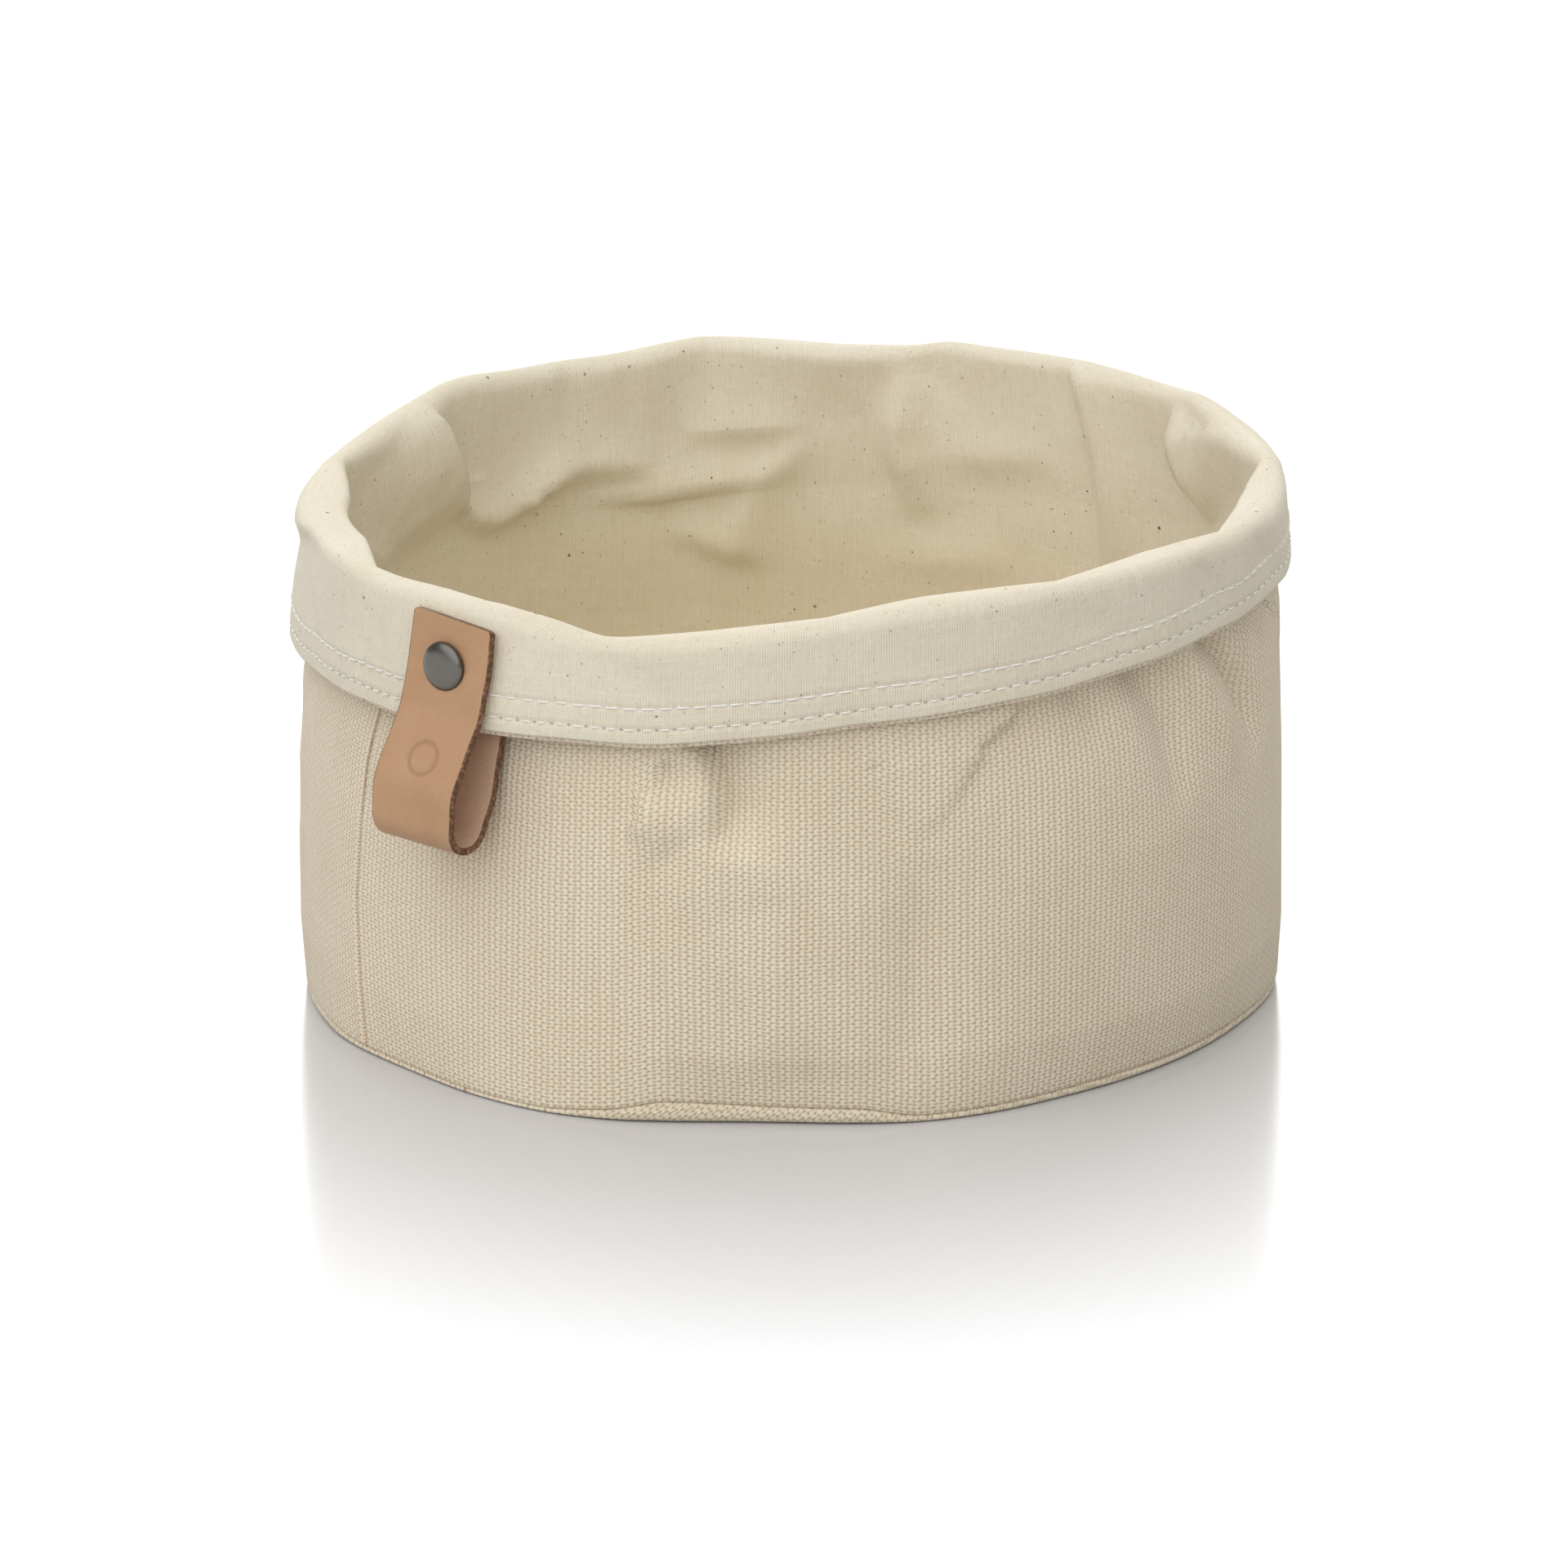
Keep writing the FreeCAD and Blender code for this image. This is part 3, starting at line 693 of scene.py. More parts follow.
def leather_strap():
    """The strap as one mesh, its grain side out, pressed with a plain ring."""
    line = rounded(strap_path(), 0.8)
    along = np.concatenate([[0], np.cumsum(np.hypot(*np.diff(line, axis=0).T))])
    length = along[-1]
    tip = np.array([0, 0.06, 0.16, 0.3, 0.5, 0.75])
    even = np.linspace(STRAP_CORNER, length - STRAP_CORNER, round(length / STRAP_STEP))
    steps = np.concatenate([tip, even, length - tip[::-1]])
    line = np.stack([np.interp(steps, along, line[:, 0]), np.interp(steps, along, line[:, 1])], -1)
    ways = np.gradient(line, axis=0)
    ways /= np.hypot(*ways.T)[:, None]
    outward = np.stack([ways[:, 1], -ways[:, 0]], -1)
    across, through, finish = np.array(strap_section()).T
    front = steps > 0.55 * length
    mark = int(np.argmin(np.abs(line[:, 1] - MARK_HEIGHT) + 99 * ~front))
    from_end = np.minimum(steps, length - steps)
    gone = np.maximum(0, STRAP_CORNER - from_end)
    half = STRAP_WIDTH / 2 - STRAP_CORNER + np.sqrt(STRAP_CORNER ** 2 - gone ** 2)
    uneven = 0.07 * np.sin(steps / 4.1) + 0.05 * np.sin(steps / 1.7 + 1)
    wide = across * ((half + uneven) / (STRAP_WIDTH / 2))[:, None]
    distance = np.hypot(wide, (steps - steps[mark])[:, None])
    press = bell(distance - MARK_RADIUS, MARK_WIDTH) * (through > 0)
    curl = 0.05 * (across / 10) ** 2 * np.sin(steps / 14)[:, None]
    thin = np.where(from_end < 0.3, 0.93, 1.0)[:, None]
    lift = through * thin + curl - MARK_DEPTH * press
    slant = -0.05 * across * np.clip(1 - from_end / 4, 0, 1)[:, None] * front[:, None]
    up = line[:, 1:] + outward[:, 1:] * lift + slant - RIVET_HEIGHT
    tilt = math.radians(STRAP_TILT)
    places = np.stack([
        wide * math.cos(tilt) + up * math.sin(tilt) + STRAP_SHIFT,
        -(line[:, :1] + outward[:, :1] * lift),
        up * math.cos(tilt) - wide * math.sin(tilt) + RIVET_HEIGHT,
    ], -1)
    rows, columns = places.shape[:2]
    corners = np.arange(rows * columns).reshape(rows, columns)
    nexts = np.roll(corners, -1, axis=1)
    faces = np.stack([corners[:-1], corners[1:], nexts[1:], nexts[:-1]], -1).reshape(-1, 4).tolist()
    slots = np.where(finish == np.roll(finish, -1), finish, 2).astype(int)
    slots = np.tile(slots, rows - 1).tolist() + [2, 2]
    faces += [tuple(corners[0].tolist()), tuple(corners[-1][::-1].tolist())]
    vertices = (places * MM).reshape(-1, 3).tolist()
    made = mesh_object("leather_strap", vertices, faces, flat_ends=True)
    mesh = made.data
    mesh.polygons.foreach_set("material_index", slots)
    mesh.attributes.new("pressed", "FLOAT", "POINT").data.foreach_set("value", press.ravel())
    for material in (leather_grain(), leather_flesh(), leather_edge()):
        mesh.materials.append(material)
    punch(made)
    return made


def lathe(name, outline, sides, low):
    """A turned piece whose axis is the rivet's, from (radius, distance out of the bin) points."""
    vertices, faces = [], []
    for radius, out in outline:
        for i in range(sides):
            turn = 2 * math.pi * i / sides
            vertices.append((radius * math.cos(turn) * MM, -(low + out) * MM,
                             (RIVET_HEIGHT + radius * math.sin(turn)) * MM))
    for k in range(len(outline) - 1):
        for i in range(sides):
            right = (i + 1) % sides
            faces.append((k * sides + i, k * sides + right, (k + 1) * sides + right,
                          (k + 1) * sides + i))
    faces.append(tuple(range(sides - 1, -1, -1)))
    last = (len(outline) - 1) * sides
    faces.append(tuple(range(last, last + sides)))
    return mesh_object(name, vertices, faces, flat_ends=True)


def punch(strap):
    """Cuts the rivet's hole through both legs of the strap."""
    hole = lathe("hole", [(1.55, 0), (1.55, 30)], 48, 90)
    modifier = strap.modifiers.new("hole", "BOOLEAN")
    modifier.object = hole
    modifier.operation = "DIFFERENCE"
    modifier.solver = "EXACT"
    apply(strap, modifier)
    bpy.data.objects.remove(hole, do_unlink=True)


def dome_cap():
    """The rivet's domed head: a short rolled edge, then a low dome."""
    wide = (CAP_HIGH.x - CAP_LOW.x) / 2
    rise = CAP_HIGH.y - CAP_LOW.y
    edge = 0.62
    rim = ((1.0, 0.0), (0.30, 0.0), (0.08, 0.12), (0.0, 0.32), (0.03, 0.5))
    outline = [(wide - inward, out) for inward, out in rim]
    for i in range(25):
        turn = math.radians(3 + 86.5 * i / 24)
        across = (wide - 0.05) * math.cos(turn) ** 0.62
        outline.append((across, edge + (rise - edge) * math.sin(turn)))
    return lathe("rivet_head", outline, 96, -CAP_HIGH.y)


# Materials
CANVAS_WARP, CANVAS_WEFT = 1.35, 0.75       # distance between the canvas's yarns
COTTON_WARP, COTTON_WEFT = 0.52, 0.46
FLECKS = [                  # seed flecks as (cells in a metre, size in cells, share, strength)
    (210.0, 0.040, 0.45, 0.75), (460.0, 0.075, 0.45, 0.42), (95.0, 0.030, 0.40, 1.0),
]
CANVAS_LIGHT = (0.80, 0.70, 0.53, 1)
CANVAS_SHADE = (0.77, 0.66, 0.485, 1)
CANVAS_YARN = (0.71, 0.59, 0.42, 1)
CANVAS_PALE = (0.87, 0.80, 0.655, 1)
# painted shade for the gaps and grooves of the canvas weave
CANVAS_DIP_SHADE = (0.43, 0.31, 0.18, 1)
SEAM_SHADE = (0.35, 0.20, 0.075, 1)
COTTON_LIGHT = (0.747, 0.689, 0.545, 1)
COTTON_SHADE = (0.723, 0.655, 0.508, 1)
COTTON_YARN = (0.661, 0.58, 0.432, 1)
COTTON_PALE = (0.813, 0.769, 0.649, 1)
# painted shade for the gaps of the cotton's weave
COTTON_PIT_SHADE = (0.42, 0.335, 0.22, 1)
COTTON_INSIDE_BOUNCE = (1.0, 0.955, 0.87, 1)   # painted warm bounce shade on the lining inside the bin
NEEDLE_HOLE = (0.20, 0.145, 0.095, 1)
FLECK = (0.17, 0.105, 0.06, 1)
LEATHER_TAN = (0.475, 0.285, 0.155, 1)
LEATHER_DEEP = (0.435, 0.25, 0.132, 1)
LEATHER_FLECK = (0.36, 0.195, 0.10, 1)
LEATHER_PRESSED = (0.27, 0.13, 0.065, 1)
EDGE_DYE, EDGE_WORN = (0.10, 0.045, 0.022, 1), (0.34, 0.175, 0.09, 1)
FLESH_DARK, FLESH_PALE = (0.47, 0.295, 0.19, 1), (0.65, 0.45, 0.31, 1)
THREAD_SHADE, THREAD_LIGHT = (0.74, 0.735, 0.69, 1), (0.86, 0.855, 0.82, 1)
METAL_DARK, METAL_PALE = (0.128, 0.121, 0.109, 1), (0.162, 0.154, 0.140, 1)
# the floor is painted darker near the bin, a painted shadow round its foot
FLOOR_NEAR_SHADE, FLOOR_FAR = (0.60, 0.60, 0.60, 1), (0.95, 0.95, 0.95, 1)
FLOOR_BOUNCE = (0.50, 0.50, 0.50, 1)    # what the floor is to light scattered between surfaces
FLOOR_SHADE_AND_GLOSS_FADE = 0.085, 0.235   # metres from the bin's middle where the floor's painted shade and its gloss start and stop to fade


class Nodes:
    """A material's node tree, with short ways to add and join nodes."""

    def __init__(self, name):
        self.material = bpy.data.materials.new(name)
        self.material.use_nodes = True
        self.tree = self.material.node_tree
        self.shader = self.tree.nodes["Principled BSDF"]

    def add(self, kind, output, settings=(), **inputs):
        """Adds a node, sets or links its inputs by name, and returns one of its outputs."""
        made = self.tree.nodes.new(kind)
        for name, value in settings:
            setattr(made, name, value)
        for name, value in inputs.items():
            self.join(value, made.inputs[NAMES.get(name, name)])
        return made.outputs[output]

    def join(self, value, socket):
        """Links an output to a socket, or sets the socket to a plain value."""
        if isinstance(value, bpy.types.NodeSocket):
            self.tree.links.new(value, socket)
        else:
            socket.default_value = value

    def sum(self, operation, first, second=0.0, clamp=False):
        """One step of arithmetic."""
        made = self.tree.nodes.new("ShaderNodeMath")
        made.operation = operation
        made.use_clamp = clamp
        for value, socket in zip((first, second), made.inputs):
            self.join(value, socket)
        return made.outputs[0]

    def times(self, first, second, clamp=False):
        """A product."""
        return self.sum("MULTIPLY", first, second, clamp)

    def plus(self, first, second):
        """A sum of two values."""
        return self.sum("ADD", first, second)

    def split(self, vector):
        """The separate parts of a vector."""
        made = self.tree.nodes.new("ShaderNodeSeparateXYZ")
        self.join(vector, made.inputs[0])
        return made.outputs

    def here(self):
        """The place on the piece."""
        return self.add("ShaderNodeTexCoord", "Object")

    def cloth(self):
        """The place on a cloth laid out flat."""
        return self.add("ShaderNodeUVMap", "UV", [("uv_map", "cloth")])

    def shaken(self, vector, scale, detail, reach):
        """The place, shifted by noise."""
        noise = self.add("ShaderNodeTexNoise", "Color", Vector=vector, Scale=scale, Detail=detail)
        shift = self.add("ShaderNodeVectorMath", "Vector", [("operation", "MULTIPLY_ADD")],
                         first=noise, second=reach)
        self.join(vector, shift.node.inputs[2])
        return shift

    def ramp(self, value, low, high, start=0.0, end=1.0):
        """A smooth step: start below low, end above high."""
        return self.add("ShaderNodeMapRange", "Result",
                        [("interpolation_type", "SMOOTHSTEP")], Value=value, from_low=low,
                        from_high=high, to_low=start, to_high=end)

    def blend(self, share, first, second, kind="MIX"):
        """Mixes two colours."""
        made = self.tree.nodes.new("ShaderNodeMix")
        made.data_type = "RGBA"
        made.blend_type = kind
        self.join(share, made.inputs[0])
        self.join(first, made.inputs[6])
        self.join(second, made.inputs[7])
        return made.outputs[2]

    def noise(self, vector, scale, detail=2.0, roughness=0.5):
        """Soft noise from 0 to 1."""
        return self.add("ShaderNodeTexNoise", "Fac", Vector=vector, Scale=scale, Detail=detail,
                        Roughness=roughness)

    def stretched(self, vector, x, y, z=1.0):
        """The place, scaled along each axis."""
        return self.add("ShaderNodeVectorMath", "Vector", [("operation", "MULTIPLY")],
                        first=vector, second=(x, y, z))

    def bump(self, height, distance, strength=1.0, normal=None):
        """A bump of so many metres."""
        made = self.tree.nodes.new("ShaderNodeBump")
        self.join(height, made.inputs["Height"])
        made.inputs["Distance"].default_value = distance
        made.inputs["Strength"].default_value = strength
        if normal is not None:
            self.tree.links.new(normal, made.inputs["Normal"])
        return made.outputs["Normal"]

    def finish(self, colour, roughness, normal=None, **constants):
        """Joins the shader's inputs, and sets the rest on its own sockets."""
        self.join(colour, self.shader.inputs["Base Color"])
        self.join(roughness, self.shader.inputs["Roughness"])
        if normal is not None:
            self.join(normal, self.shader.inputs["Normal"])
        for name, value in constants.items():
            self.shader.inputs[NAMES[name]].default_value = value
        return self.material


NAMES = {
    "from_low": "From Min", "from_high": "From Max", "to_low": "To Min", "to_high": "To Max",
    "first": 0, "second": 1, "sheen": "Sheen Weight", "sheen_roughness": "Sheen Roughness",
    "specular": "Specular IOR Level", "metallic": "Metallic", "coat": "Coat Weight",
    "coat_roughness": "Coat Roughness",
}


def plain_weave(nodes, cloth, across_pitch, up_pitch, wobble, zigzag=0.0):
    """A plain weave: 1 where a level yarn is on top, -1 where an upright one is; and both ribs.

    The zigzag shifts the gaps between the upright yarns to one side and the other, row by row.
    """
    reach = (wobble * across_pitch, wobble * up_pitch, 0.0)
    places = nodes.split(nodes.shaken(cloth, 150.0, 2.0, reach))
    turns = [nodes.times(places[axis], math.pi / pitch)
             for axis, pitch in (("X", across_pitch), ("Y", up_pitch))]
    swing = nodes.times(nodes.sum("COSINE", turns[1]), zigzag * math.pi)
    turns[0] = nodes.plus(turns[0], swing)
    sines = [nodes.sum("SINE", turn) for turn in turns]
    ribs = nodes.sum("ABSOLUTE", sines[0])
    bars = nodes.sum("ABSOLUTE", sines[1])
    return nodes.times(*sines), ribs, bars


def canvas_cloth():
    """Coarse beige canvas: thick yarns side by side, with painted shade in the dips where they dive
    under.
    """
    nodes = Nodes("canvas")
    cloth = nodes.cloth()
    top, ribs, bars = plain_weave(nodes, cloth, CANVAS_WARP * MM, CANVAS_WEFT * MM, 0.5, 0.09)
    yarn = nodes.noise(nodes.stretched(cloth, 740.0, 60.0), 1.0, 2.0)
    weft = nodes.noise(nodes.stretched(cloth, 160.0, 1330.0), 1.0, 2.0)
    cloud = nodes.noise(cloth, 38.0, 3.0)
    colour = nodes.blend(nodes.ramp(cloud, 0.3, 0.7), CANVAS_SHADE, CANVAS_LIGHT)
    colour = nodes.blend(nodes.ramp(yarn, 0.4, 0.75, 0.0, 0.40), colour, CANVAS_YARN)
    colour = nodes.blend(nodes.ramp(weft, 0.4, 0.8, 0.0, 0.35), colour, CANVAS_PALE)
    # Painted shade: darker where the yarns dive under, and faintly along the grooves between the ribs
    between = nodes.ramp(ribs, 0.25, 0.92, 1.0, 0.0)
    gap = nodes.times(between, nodes.ramp(bars, 0.05, 0.72, 1.0, 0.0))
    depth = nodes.ramp(weft, 0.25, 0.75, 0.70, 1.0)
    colour = nodes.blend(nodes.times(gap, depth), colour, CANVAS_DIP_SHADE)
    colour = nodes.blend(nodes.times(between, 0.16), colour, CANVAS_DIP_SHADE)
    beside = nodes.sum("PINGPONG", nodes.split(cloth)[0], math.pi * WALL_RADIUS * MM)
    seam = nodes.ramp(beside, 0.0002, 0.0007, 1.0, 0.0)
    colour = nodes.blend(nodes.times(seam, nodes.ramp(weft, 0.3, 0.7, 0.5, 0.95)), colour, SEAM_SHADE)
    relief = nodes.plus(nodes.times(top, 0.3), nodes.times(ribs, 0.7))
    relief = nodes.plus(relief, nodes.times(bars, 0.35))
    fibre = nodes.noise(cloth, 4200.0, 2.0)
    relief = nodes.plus(relief, nodes.times(fibre, 0.22))
    normal = nodes.bump(relief, 0.00030, 0.9)
    return nodes.finish(colour, 0.92, normal, sheen=0.2, sheen_roughness=0.6, specular=0.15)


def cotton_cloth(rows, hole_row, hole_phase):
    """Fine unbleached cotton with seed flecks, painted shade in the gaps of its weave and painted warm
    shade inside the bin; dips along its seams and needle holes in one.
    """
    nodes = Nodes("cotton")
    cloth = nodes.cloth()
    _, ribs, bars = plain_weave(nodes, cloth, COTTON_WARP * MM, COTTON_WEFT * MM, 0.5, 0.06)
    yarn = nodes.noise(nodes.stretched(cloth, 1500.0, 90.0), 1.0, 2.0)
    weft = nodes.noise(nodes.stretched(cloth, 90.0, 1900.0), 1.0, 2.0)
    grain = nodes.noise(nodes.stretched(cloth, 1100.0, 700.0), 1.0, 2.0, 0.6)
    cloud = nodes.noise(cloth, 30.0, 3.0)
    colour = nodes.blend(nodes.ramp(cloud, 0.3, 0.7), COTTON_SHADE, COTTON_LIGHT)
    colour = nodes.blend(nodes.ramp(yarn, 0.42, 0.75, 0.0, 0.30), colour, COTTON_YARN)
    colour = nodes.blend(nodes.ramp(weft, 0.42, 0.8, 0.0, 0.40), colour, COTTON_PALE)
    # Painted shade in the gaps between the yarns
    pit_shade = nodes.times(nodes.ramp(ribs, 0.1, 0.8, 1.0, 0.0), nodes.ramp(bars, 0.1, 0.95, 1.0, 0.1))
    pit_shade = nodes.times(pit_shade, nodes.ramp(grain, 0.3, 0.65, 0.3, 0.95))
    colour = nodes.blend(pit_shade, colour, COTTON_PIT_SHADE)
    along, up, _ = nodes.split(cloth)
    # Painted warm bounce shade: the lining is tinted warmer and a little darker inside the bin than on
    # the cuff
    inside_bounce = nodes.ramp(up, 0.034, 0.095)
    colour = nodes.blend(inside_bounce, colour, COTTON_INSIDE_BOUNCE, "MULTIPLY")
    for scale, size, chance, strength in FLECKS:
        colour = flecks(nodes, cloth, colour, scale, size, chance, strength)
    relief = nodes.plus(nodes.times(ribs, 0.5), nodes.times(yarn, 0.7))
    relief = nodes.plus(relief, nodes.times(grain, 0.9))
    normal = nodes.bump(relief, 0.00012, 0.8)
    crumple = nodes.noise(nodes.stretched(cloth, 210.0, 120.0), 1.0, 3.0, 0.55)
    normal = nodes.bump(crumple, 0.0006, 0.6, normal)
    for row in rows:
        off_row = nodes.sum("ABSOLUTE", nodes.sum("SUBTRACT", up, row * MM))
        normal = nodes.bump(nodes.ramp(off_row, 0.0, 0.0011), 0.00022, 0.8, normal)
    above = nodes.sum("DIVIDE", nodes.sum("SUBTRACT", up, hole_row * MM), 0.00030)
    pitch = 2 * math.pi * WALL_RADIUS * MM / stitch_count(CUFF_FACE)
    turns = nodes.sum("SUBTRACT", nodes.sum("DIVIDE", along, pitch), hole_phase + 0.5)
    across = nodes.sum("SUBTRACT", nodes.sum("FRACT", nodes.plus(turns, 0.5)), 0.5)
    across = nodes.sum("DIVIDE", nodes.times(across, pitch), 0.00042)
    gap = nodes.sum("SQRT", nodes.plus(nodes.times(above, above), nodes.times(across, across)))
    colour = nodes.blend(nodes.ramp(gap, 0.55, 1.15, 0.55, 0.0), colour, NEEDLE_HOLE)
    return nodes.finish(colour, 0.9, normal, sheen=0.2, sheen_roughness=0.5, specular=0.15)


def flecks(nodes, cloth, colour, scale, size, chance, strength):
    """Scattered seed flecks: a share of the cells of a point pattern, each a small uneven speck."""
    cells = nodes.tree.nodes.new("ShaderNodeTexVoronoi")
    cells.voronoi_dimensions = "2D"
    nodes.join(nodes.shaken(cloth, 2300.0, 1.0, (0.00045, 0.00045, 0.0)), cells.inputs["Vector"])
    cells.inputs["Scale"].default_value = scale
    split = nodes.tree.nodes.new("ShaderNodeSeparateColor")
    nodes.join(cells.outputs["Color"], split.inputs[0])
    reach = nodes.times(nodes.plus(split.outputs[1], 0.4), size)
    near = nodes.sum("DIVIDE", cells.outputs["Distance"], reach)
    speck = nodes.ramp(near, 0.6, 1.1, 1.0, 0.0)
    chosen = nodes.sum("LESS_THAN", split.outputs[0], chance)
    share = nodes.times(nodes.times(speck, chosen), strength)
    share = nodes.times(share, nodes.plus(split.outputs[2], 0.3), clamp=True)
    return nodes.blend(share, colour, FLECK)


def thread():
    """White sewing thread with a slight twist."""
    nodes = Nodes("thread")
    where = nodes.here()
    twist = nodes.noise(where, 2600.0, 2.0)
    colour = nodes.blend(twist, THREAD_SHADE, THREAD_LIGHT)
    return nodes.finish(colour, 0.65, nodes.bump(twist, 0.00006, 0.6), sheen=0.2, specular=0.35)


def leather_grain():
    """Smooth tan leather: fine pores, faint clouds and a soft gloss."""
    nodes = Nodes("leather_grain")
    where = nodes.here()
    cloud = nodes.noise(where, 70.0, 4.0, 0.6)
    colour = nodes.blend(nodes.ramp(cloud, 0.3, 0.72), LEATHER_DEEP, LEATHER_TAN)
    pores = nodes.add("ShaderNodeTexVoronoi", "Distance", Vector=where, Scale=2600.0)
    mottle = nodes.noise(where, 900.0, 3.0, 0.65)
    colour = nodes.blend(nodes.ramp(mottle, 0.4, 0.8, 0.0, 0.16), colour, LEATHER_FLECK)
    pressed = nodes.add("ShaderNodeAttribute", "Fac", [("attribute_name", "pressed")])
    colour = nodes.blend(nodes.times(pressed, 0.45), colour, LEATHER_PRESSED)
    relief = nodes.plus(nodes.times(pores, 0.5), mottle)
    rough = nodes.ramp(mottle, 0.3, 0.7, 0.46, 0.6)
    return nodes.finish(colour, rough, nodes.bump(relief, 0.00005, 0.5), specular=0.4)


def leather_flesh():
    """The loop's inner side: darker, fibrous and matt."""
    nodes = Nodes("leather_flesh")
    where = nodes.here()
    fibre = nodes.noise(where, 1400.0, 4.0, 0.7)
    colour = nodes.blend(fibre, FLESH_DARK, FLESH_PALE)
    return nodes.finish(colour, 0.85, nodes.bump(fibre, 0.00012, 0.7), sheen=0.1, specular=0.25)


def leather_edge():
    """Cut edges, dyed dark brown, with paler fibres showing here and there."""
    nodes = Nodes("leather_edge")
    where = nodes.here()
    wear = nodes.noise(where, 1100.0, 4.0, 0.7)
    colour = nodes.blend(nodes.ramp(wear, 0.42, 0.72), EDGE_DYE, EDGE_WORN)
    return nodes.finish(colour, 0.6, nodes.bump(wear, 0.00015, 0.7), specular=0.35)


def gunmetal():
    """Dark plated metal, a little uneven and softly polished."""
    nodes = Nodes("gunmetal")
    where = nodes.here()
    smear = nodes.noise(where, 260.0, 2.0, 0.5)
    colour = nodes.blend(smear, METAL_DARK, METAL_PALE)
    rough = nodes.ramp(smear, 0.3, 0.7, 0.24, 0.30)
    fine = nodes.noise(where, 2600.0, 2.0)
    return nodes.finish(colour, rough, nodes.bump(fine, 0.00001, 0.15), metallic=1.0)


def floor_surface():
    """A white board, glossy near the bin and matt further out, which lights the bin only softly; it is
    painted darker near the bin, a painted shadow round its foot.
    """
    nodes = Nodes("floor")
    where = nodes.here()
    out = nodes.add("ShaderNodeVectorMath", "Value", [("operation", "LENGTH")], first=where)
    # Painted shadow: the floor is darker round the bin's foot
    colour = nodes.blend(nodes.ramp(out, *FLOOR_SHADE_AND_GLOSS_FADE), FLOOR_NEAR_SHADE, FLOOR_FAR)
    lighting = nodes.add("ShaderNodeLightPath", "Is Diffuse Ray")
    colour = nodes.blend(lighting, colour, FLOOR_BOUNCE)
    nodes.join(nodes.ramp(out, *FLOOR_SHADE_AND_GLOSS_FADE, 0.7, 0.0), nodes.shader.inputs["Specular IOR Level"])
    return nodes.finish(colour, 0.17)


# Pieces
def dress(piece, material):
    """Gives a piece one material."""
    piece.data.materials.clear()
    piece.data.materials.append(material)


def fit(piece, body, slot, *nodes):
    """Rides a piece on its body and hides the CAD nodes it stands for; the finish slot it is given is
    not used.
    """
    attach(piece, body)
    if nodes:
        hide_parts(*nodes)


def sewn(row, white, node):
    """Dresses and fits a row of stitches."""
    dress(row, white)
    fit(row, "bin", "thread", node)


def up_the_cuff(radius, height, crest, rise):
    """Length of cotton from the cuff's lowest fold to a height above its edge, on its face."""
    face_radius, face_height = radius[crest:].mean(1), height[crest:].mean(1)
    lowest = int(np.argmin(face_height))
    face_radius, face_height = face_radius[:lowest + 1][::-1], face_height[:lowest + 1][::-1]
    run = np.concatenate([[0], np.cumsum(np.hypot(np.diff(face_radius), np.diff(face_height)))])
    return float(np.interp(float(np.mean(EDGE)) + rise, face_height, run))


def sew(radii, heights, crest, wall, white):
    """All the threads, each on its cloth; wall holds the radii and heights of the canvas."""
    rings = [
        ("edge_stitches", "cuff_edge_stitching", EDGE + EDGE_ROW, 0.32, 0.56),
        ("hem_stitches", "cuff_hem_stitching", EDGE + HEM_ROW, 0.36, 0.80),
    ]
    for name, node, level, thickness, on_top in rings:
        face = cuff_face(radii, heights, crest, level) + COTTON / 2
        row = sewn_ring(name, face, level, thickness, on_top)
        sewn(row, white, node)
    for name, node, radius, height in (
        ("base_seam_stitches", "base_seam_thread", WALL_RAW - CANVAS / 2, SEAM_ROW + LIFTED),
        ("lining_base_stitches", "liner_base_seam_thread", LINER_RAW - 0.15, SEAM_ROW + 0 * AZ),
    ):
        row = sewn_ring(name, radius, height, 0.3, 0.8, 0)
        sewn(row, white, node)
    for name, node, azimuth, drift, radius, height in (
        ("side_seam_stitches", "outer_side_seam_thread", SEAM_AZIMUTH, True, *wall),
        ("lining_seam_stitches", "liner_side_seam_thread", LINER_SEAM_AZIMUTH, False, radii, heights),
    ):
        column = int(np.argmin(np.abs(away(AZ, azimuth))))
        up = np.linspace(26, 88, 33)
        rows = (height[:, column] > 20) & (np.arange(len(height)) < np.argmax(height[:, column]))
        found = np.interp(up, height[rows, column], radius[rows, column])
        row = sewn_seam(name, azimuth, found + (-0.45 if drift else 0.3), up, 0.2, drift)
        sewn(row, white, node)


def build():
    """Every piece, dressed and fitted to the frame."""
    wall, *wall_shape = canvas_wall()
    base = canvas_base()
    lining, radii, heights, crest = cotton_wall()
    floor_cloth = cotton_base()
    rows = [up_the_cuff(radii, heights, crest, rise) for rise in (EDGE_ROW, HEM_ROW)]
    phase = (-SEAM_AZIMUTH * stitch_count(CUFF_FACE) / 360) % 1
    canvas, cotton = canvas_cloth(), cotton_cloth(rows, rows[0], phase)
    white, metal = thread(), gunmetal()
    for piece, material, slot, node in (
        (wall, canvas, "canvas", "outer_wall"), (base, canvas, "canvas", "outer_base"),
        (lining, cotton, "cotton", "liner_wall"), (floor_cloth, cotton, "cotton", "liner_base"),
    ):
        dress(piece, material)
        fit(piece, "bin", slot, node)
    sew(radii, heights, crest, wall_shape, white)

    fit(leather_strap(), "loop", "leather", "leather_loop")
    cap = dome_cap()
    dress(cap, metal)
    fit(cap, "bin", "gunmetal", "rivet_cap")
    dress(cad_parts["rivet_post"], metal)


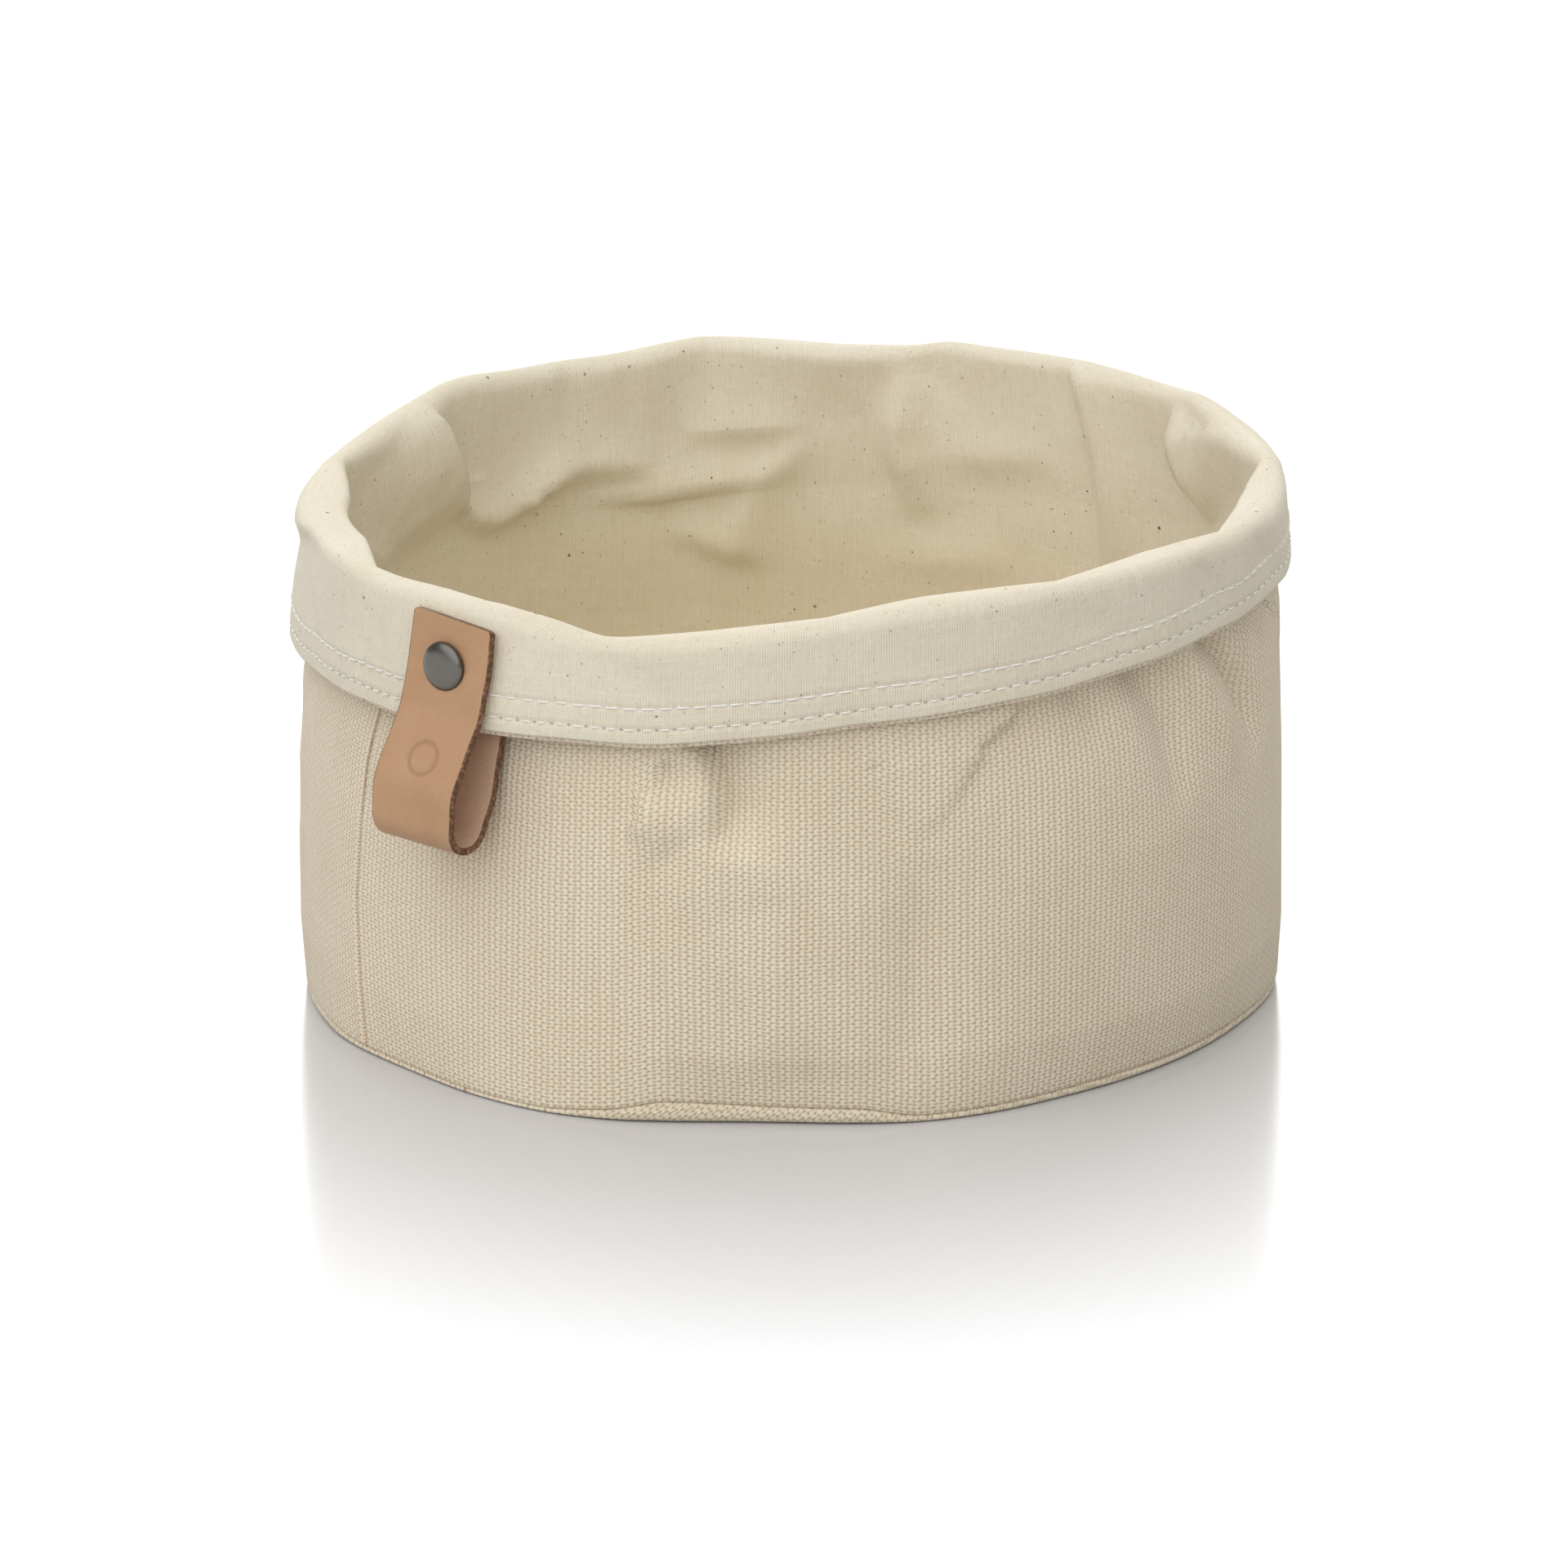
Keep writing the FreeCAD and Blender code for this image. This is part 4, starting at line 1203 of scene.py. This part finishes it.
VIEW_AZIMUTH, VIEW_ELEVATION, VIEW_DISTANCE = 40, 17.3, 2.4
LENS = 274.7
FLOOR = 8.0                 # half the side of the floor, in metres
SUNS = [                    # soft lights, as (name, azimuth, elevation, spread, strength, colour)
    ("key", 8, 40, 90, 1.42, (0.98, 1.0, 1.04)),
    ("top", 40, 68, 120, 1.22, (0.99, 1.0, 1.03)),
]
GLOW = (("From Min", 0.78), ("From Max", 0.96), ("To Min", 0.34), ("To Max", 3.4))


def pointing(azimuth, elevation):
    """The direction from the bin at an azimuth and an elevation in degrees."""
    turn, rise = math.radians(azimuth), math.radians(elevation)
    return Vector((math.sin(turn) * math.cos(rise), -math.cos(turn) * math.cos(rise), math.sin(rise)))


def stage():
    """Floor, lights and camera."""
    corners = [(FLOOR * x, FLOOR * y, 0) for x, y in ((-1, -1), (1, -1), (1, 1), (-1, 1))]
    floor = mesh_object("floor", corners, [(0, 1, 2, 3)])
    floor.location.z = -0.0002
    floor.data.materials.append(floor_surface())

    world = bpy.data.worlds.new("studio")
    world.use_nodes = True
    tree = world.node_tree
    way = tree.nodes.new("ShaderNodeTexCoord").outputs["Generated"]
    dot = tree.nodes.new("ShaderNodeVectorMath")
    dot.operation = "DOT_PRODUCT"
    tree.links.new(way, dot.inputs[0])
    dot.inputs[1].default_value = pointing(VIEW_AZIMUTH + 180, 17)
    glow = tree.nodes.new("ShaderNodeMapRange")
    glow.interpolation_type = "SMOOTHSTEP"
    tree.links.new(dot.outputs["Value"], glow.inputs["Value"])
    for name, value in GLOW:
        glow.inputs[name].default_value = value
    background = tree.nodes["Background"]
    background.inputs["Color"].default_value = (1.0, 0.985, 0.95, 1)
    tree.links.new(glow.outputs["Result"], background.inputs["Strength"])
    bpy.context.scene.world = world

    for name, azimuth, elevation, spread, strength, colour in SUNS:
        data = bpy.data.lights.new(name, "SUN")
        data.angle = math.radians(spread)
        data.energy = strength
        data.color = colour
        lamp = bpy.data.objects.new(name, data)
        bpy.context.scene.collection.objects.link(lamp)
        way = pointing(azimuth, elevation)
        lamp.location = way
        lamp.rotation_euler = (-way).to_track_quat("-Z", "Y").to_euler()

    data = bpy.data.cameras.new("camera")
    data.sensor_width = 36
    data.lens = LENS
    data.clip_end = 20
    camera = bpy.data.objects.new("camera", data)
    bpy.context.scene.collection.objects.link(camera)
    back = pointing(VIEW_AZIMUTH, VIEW_ELEVATION)
    right = pointing(VIEW_AZIMUTH + 90, 0)
    camera.location = Vector((0, 0, 0.05)) + VIEW_DISTANCE * back
    aim = Vector((0, 0, 0.0393)) - 0.0013 * right
    camera.rotation_euler = (aim - camera.location).to_track_quat("-Z", "Y").to_euler()
    bpy.context.scene.camera = camera
    bpy.context.scene.view_settings.view_transform = "Standard"


build()
stage()
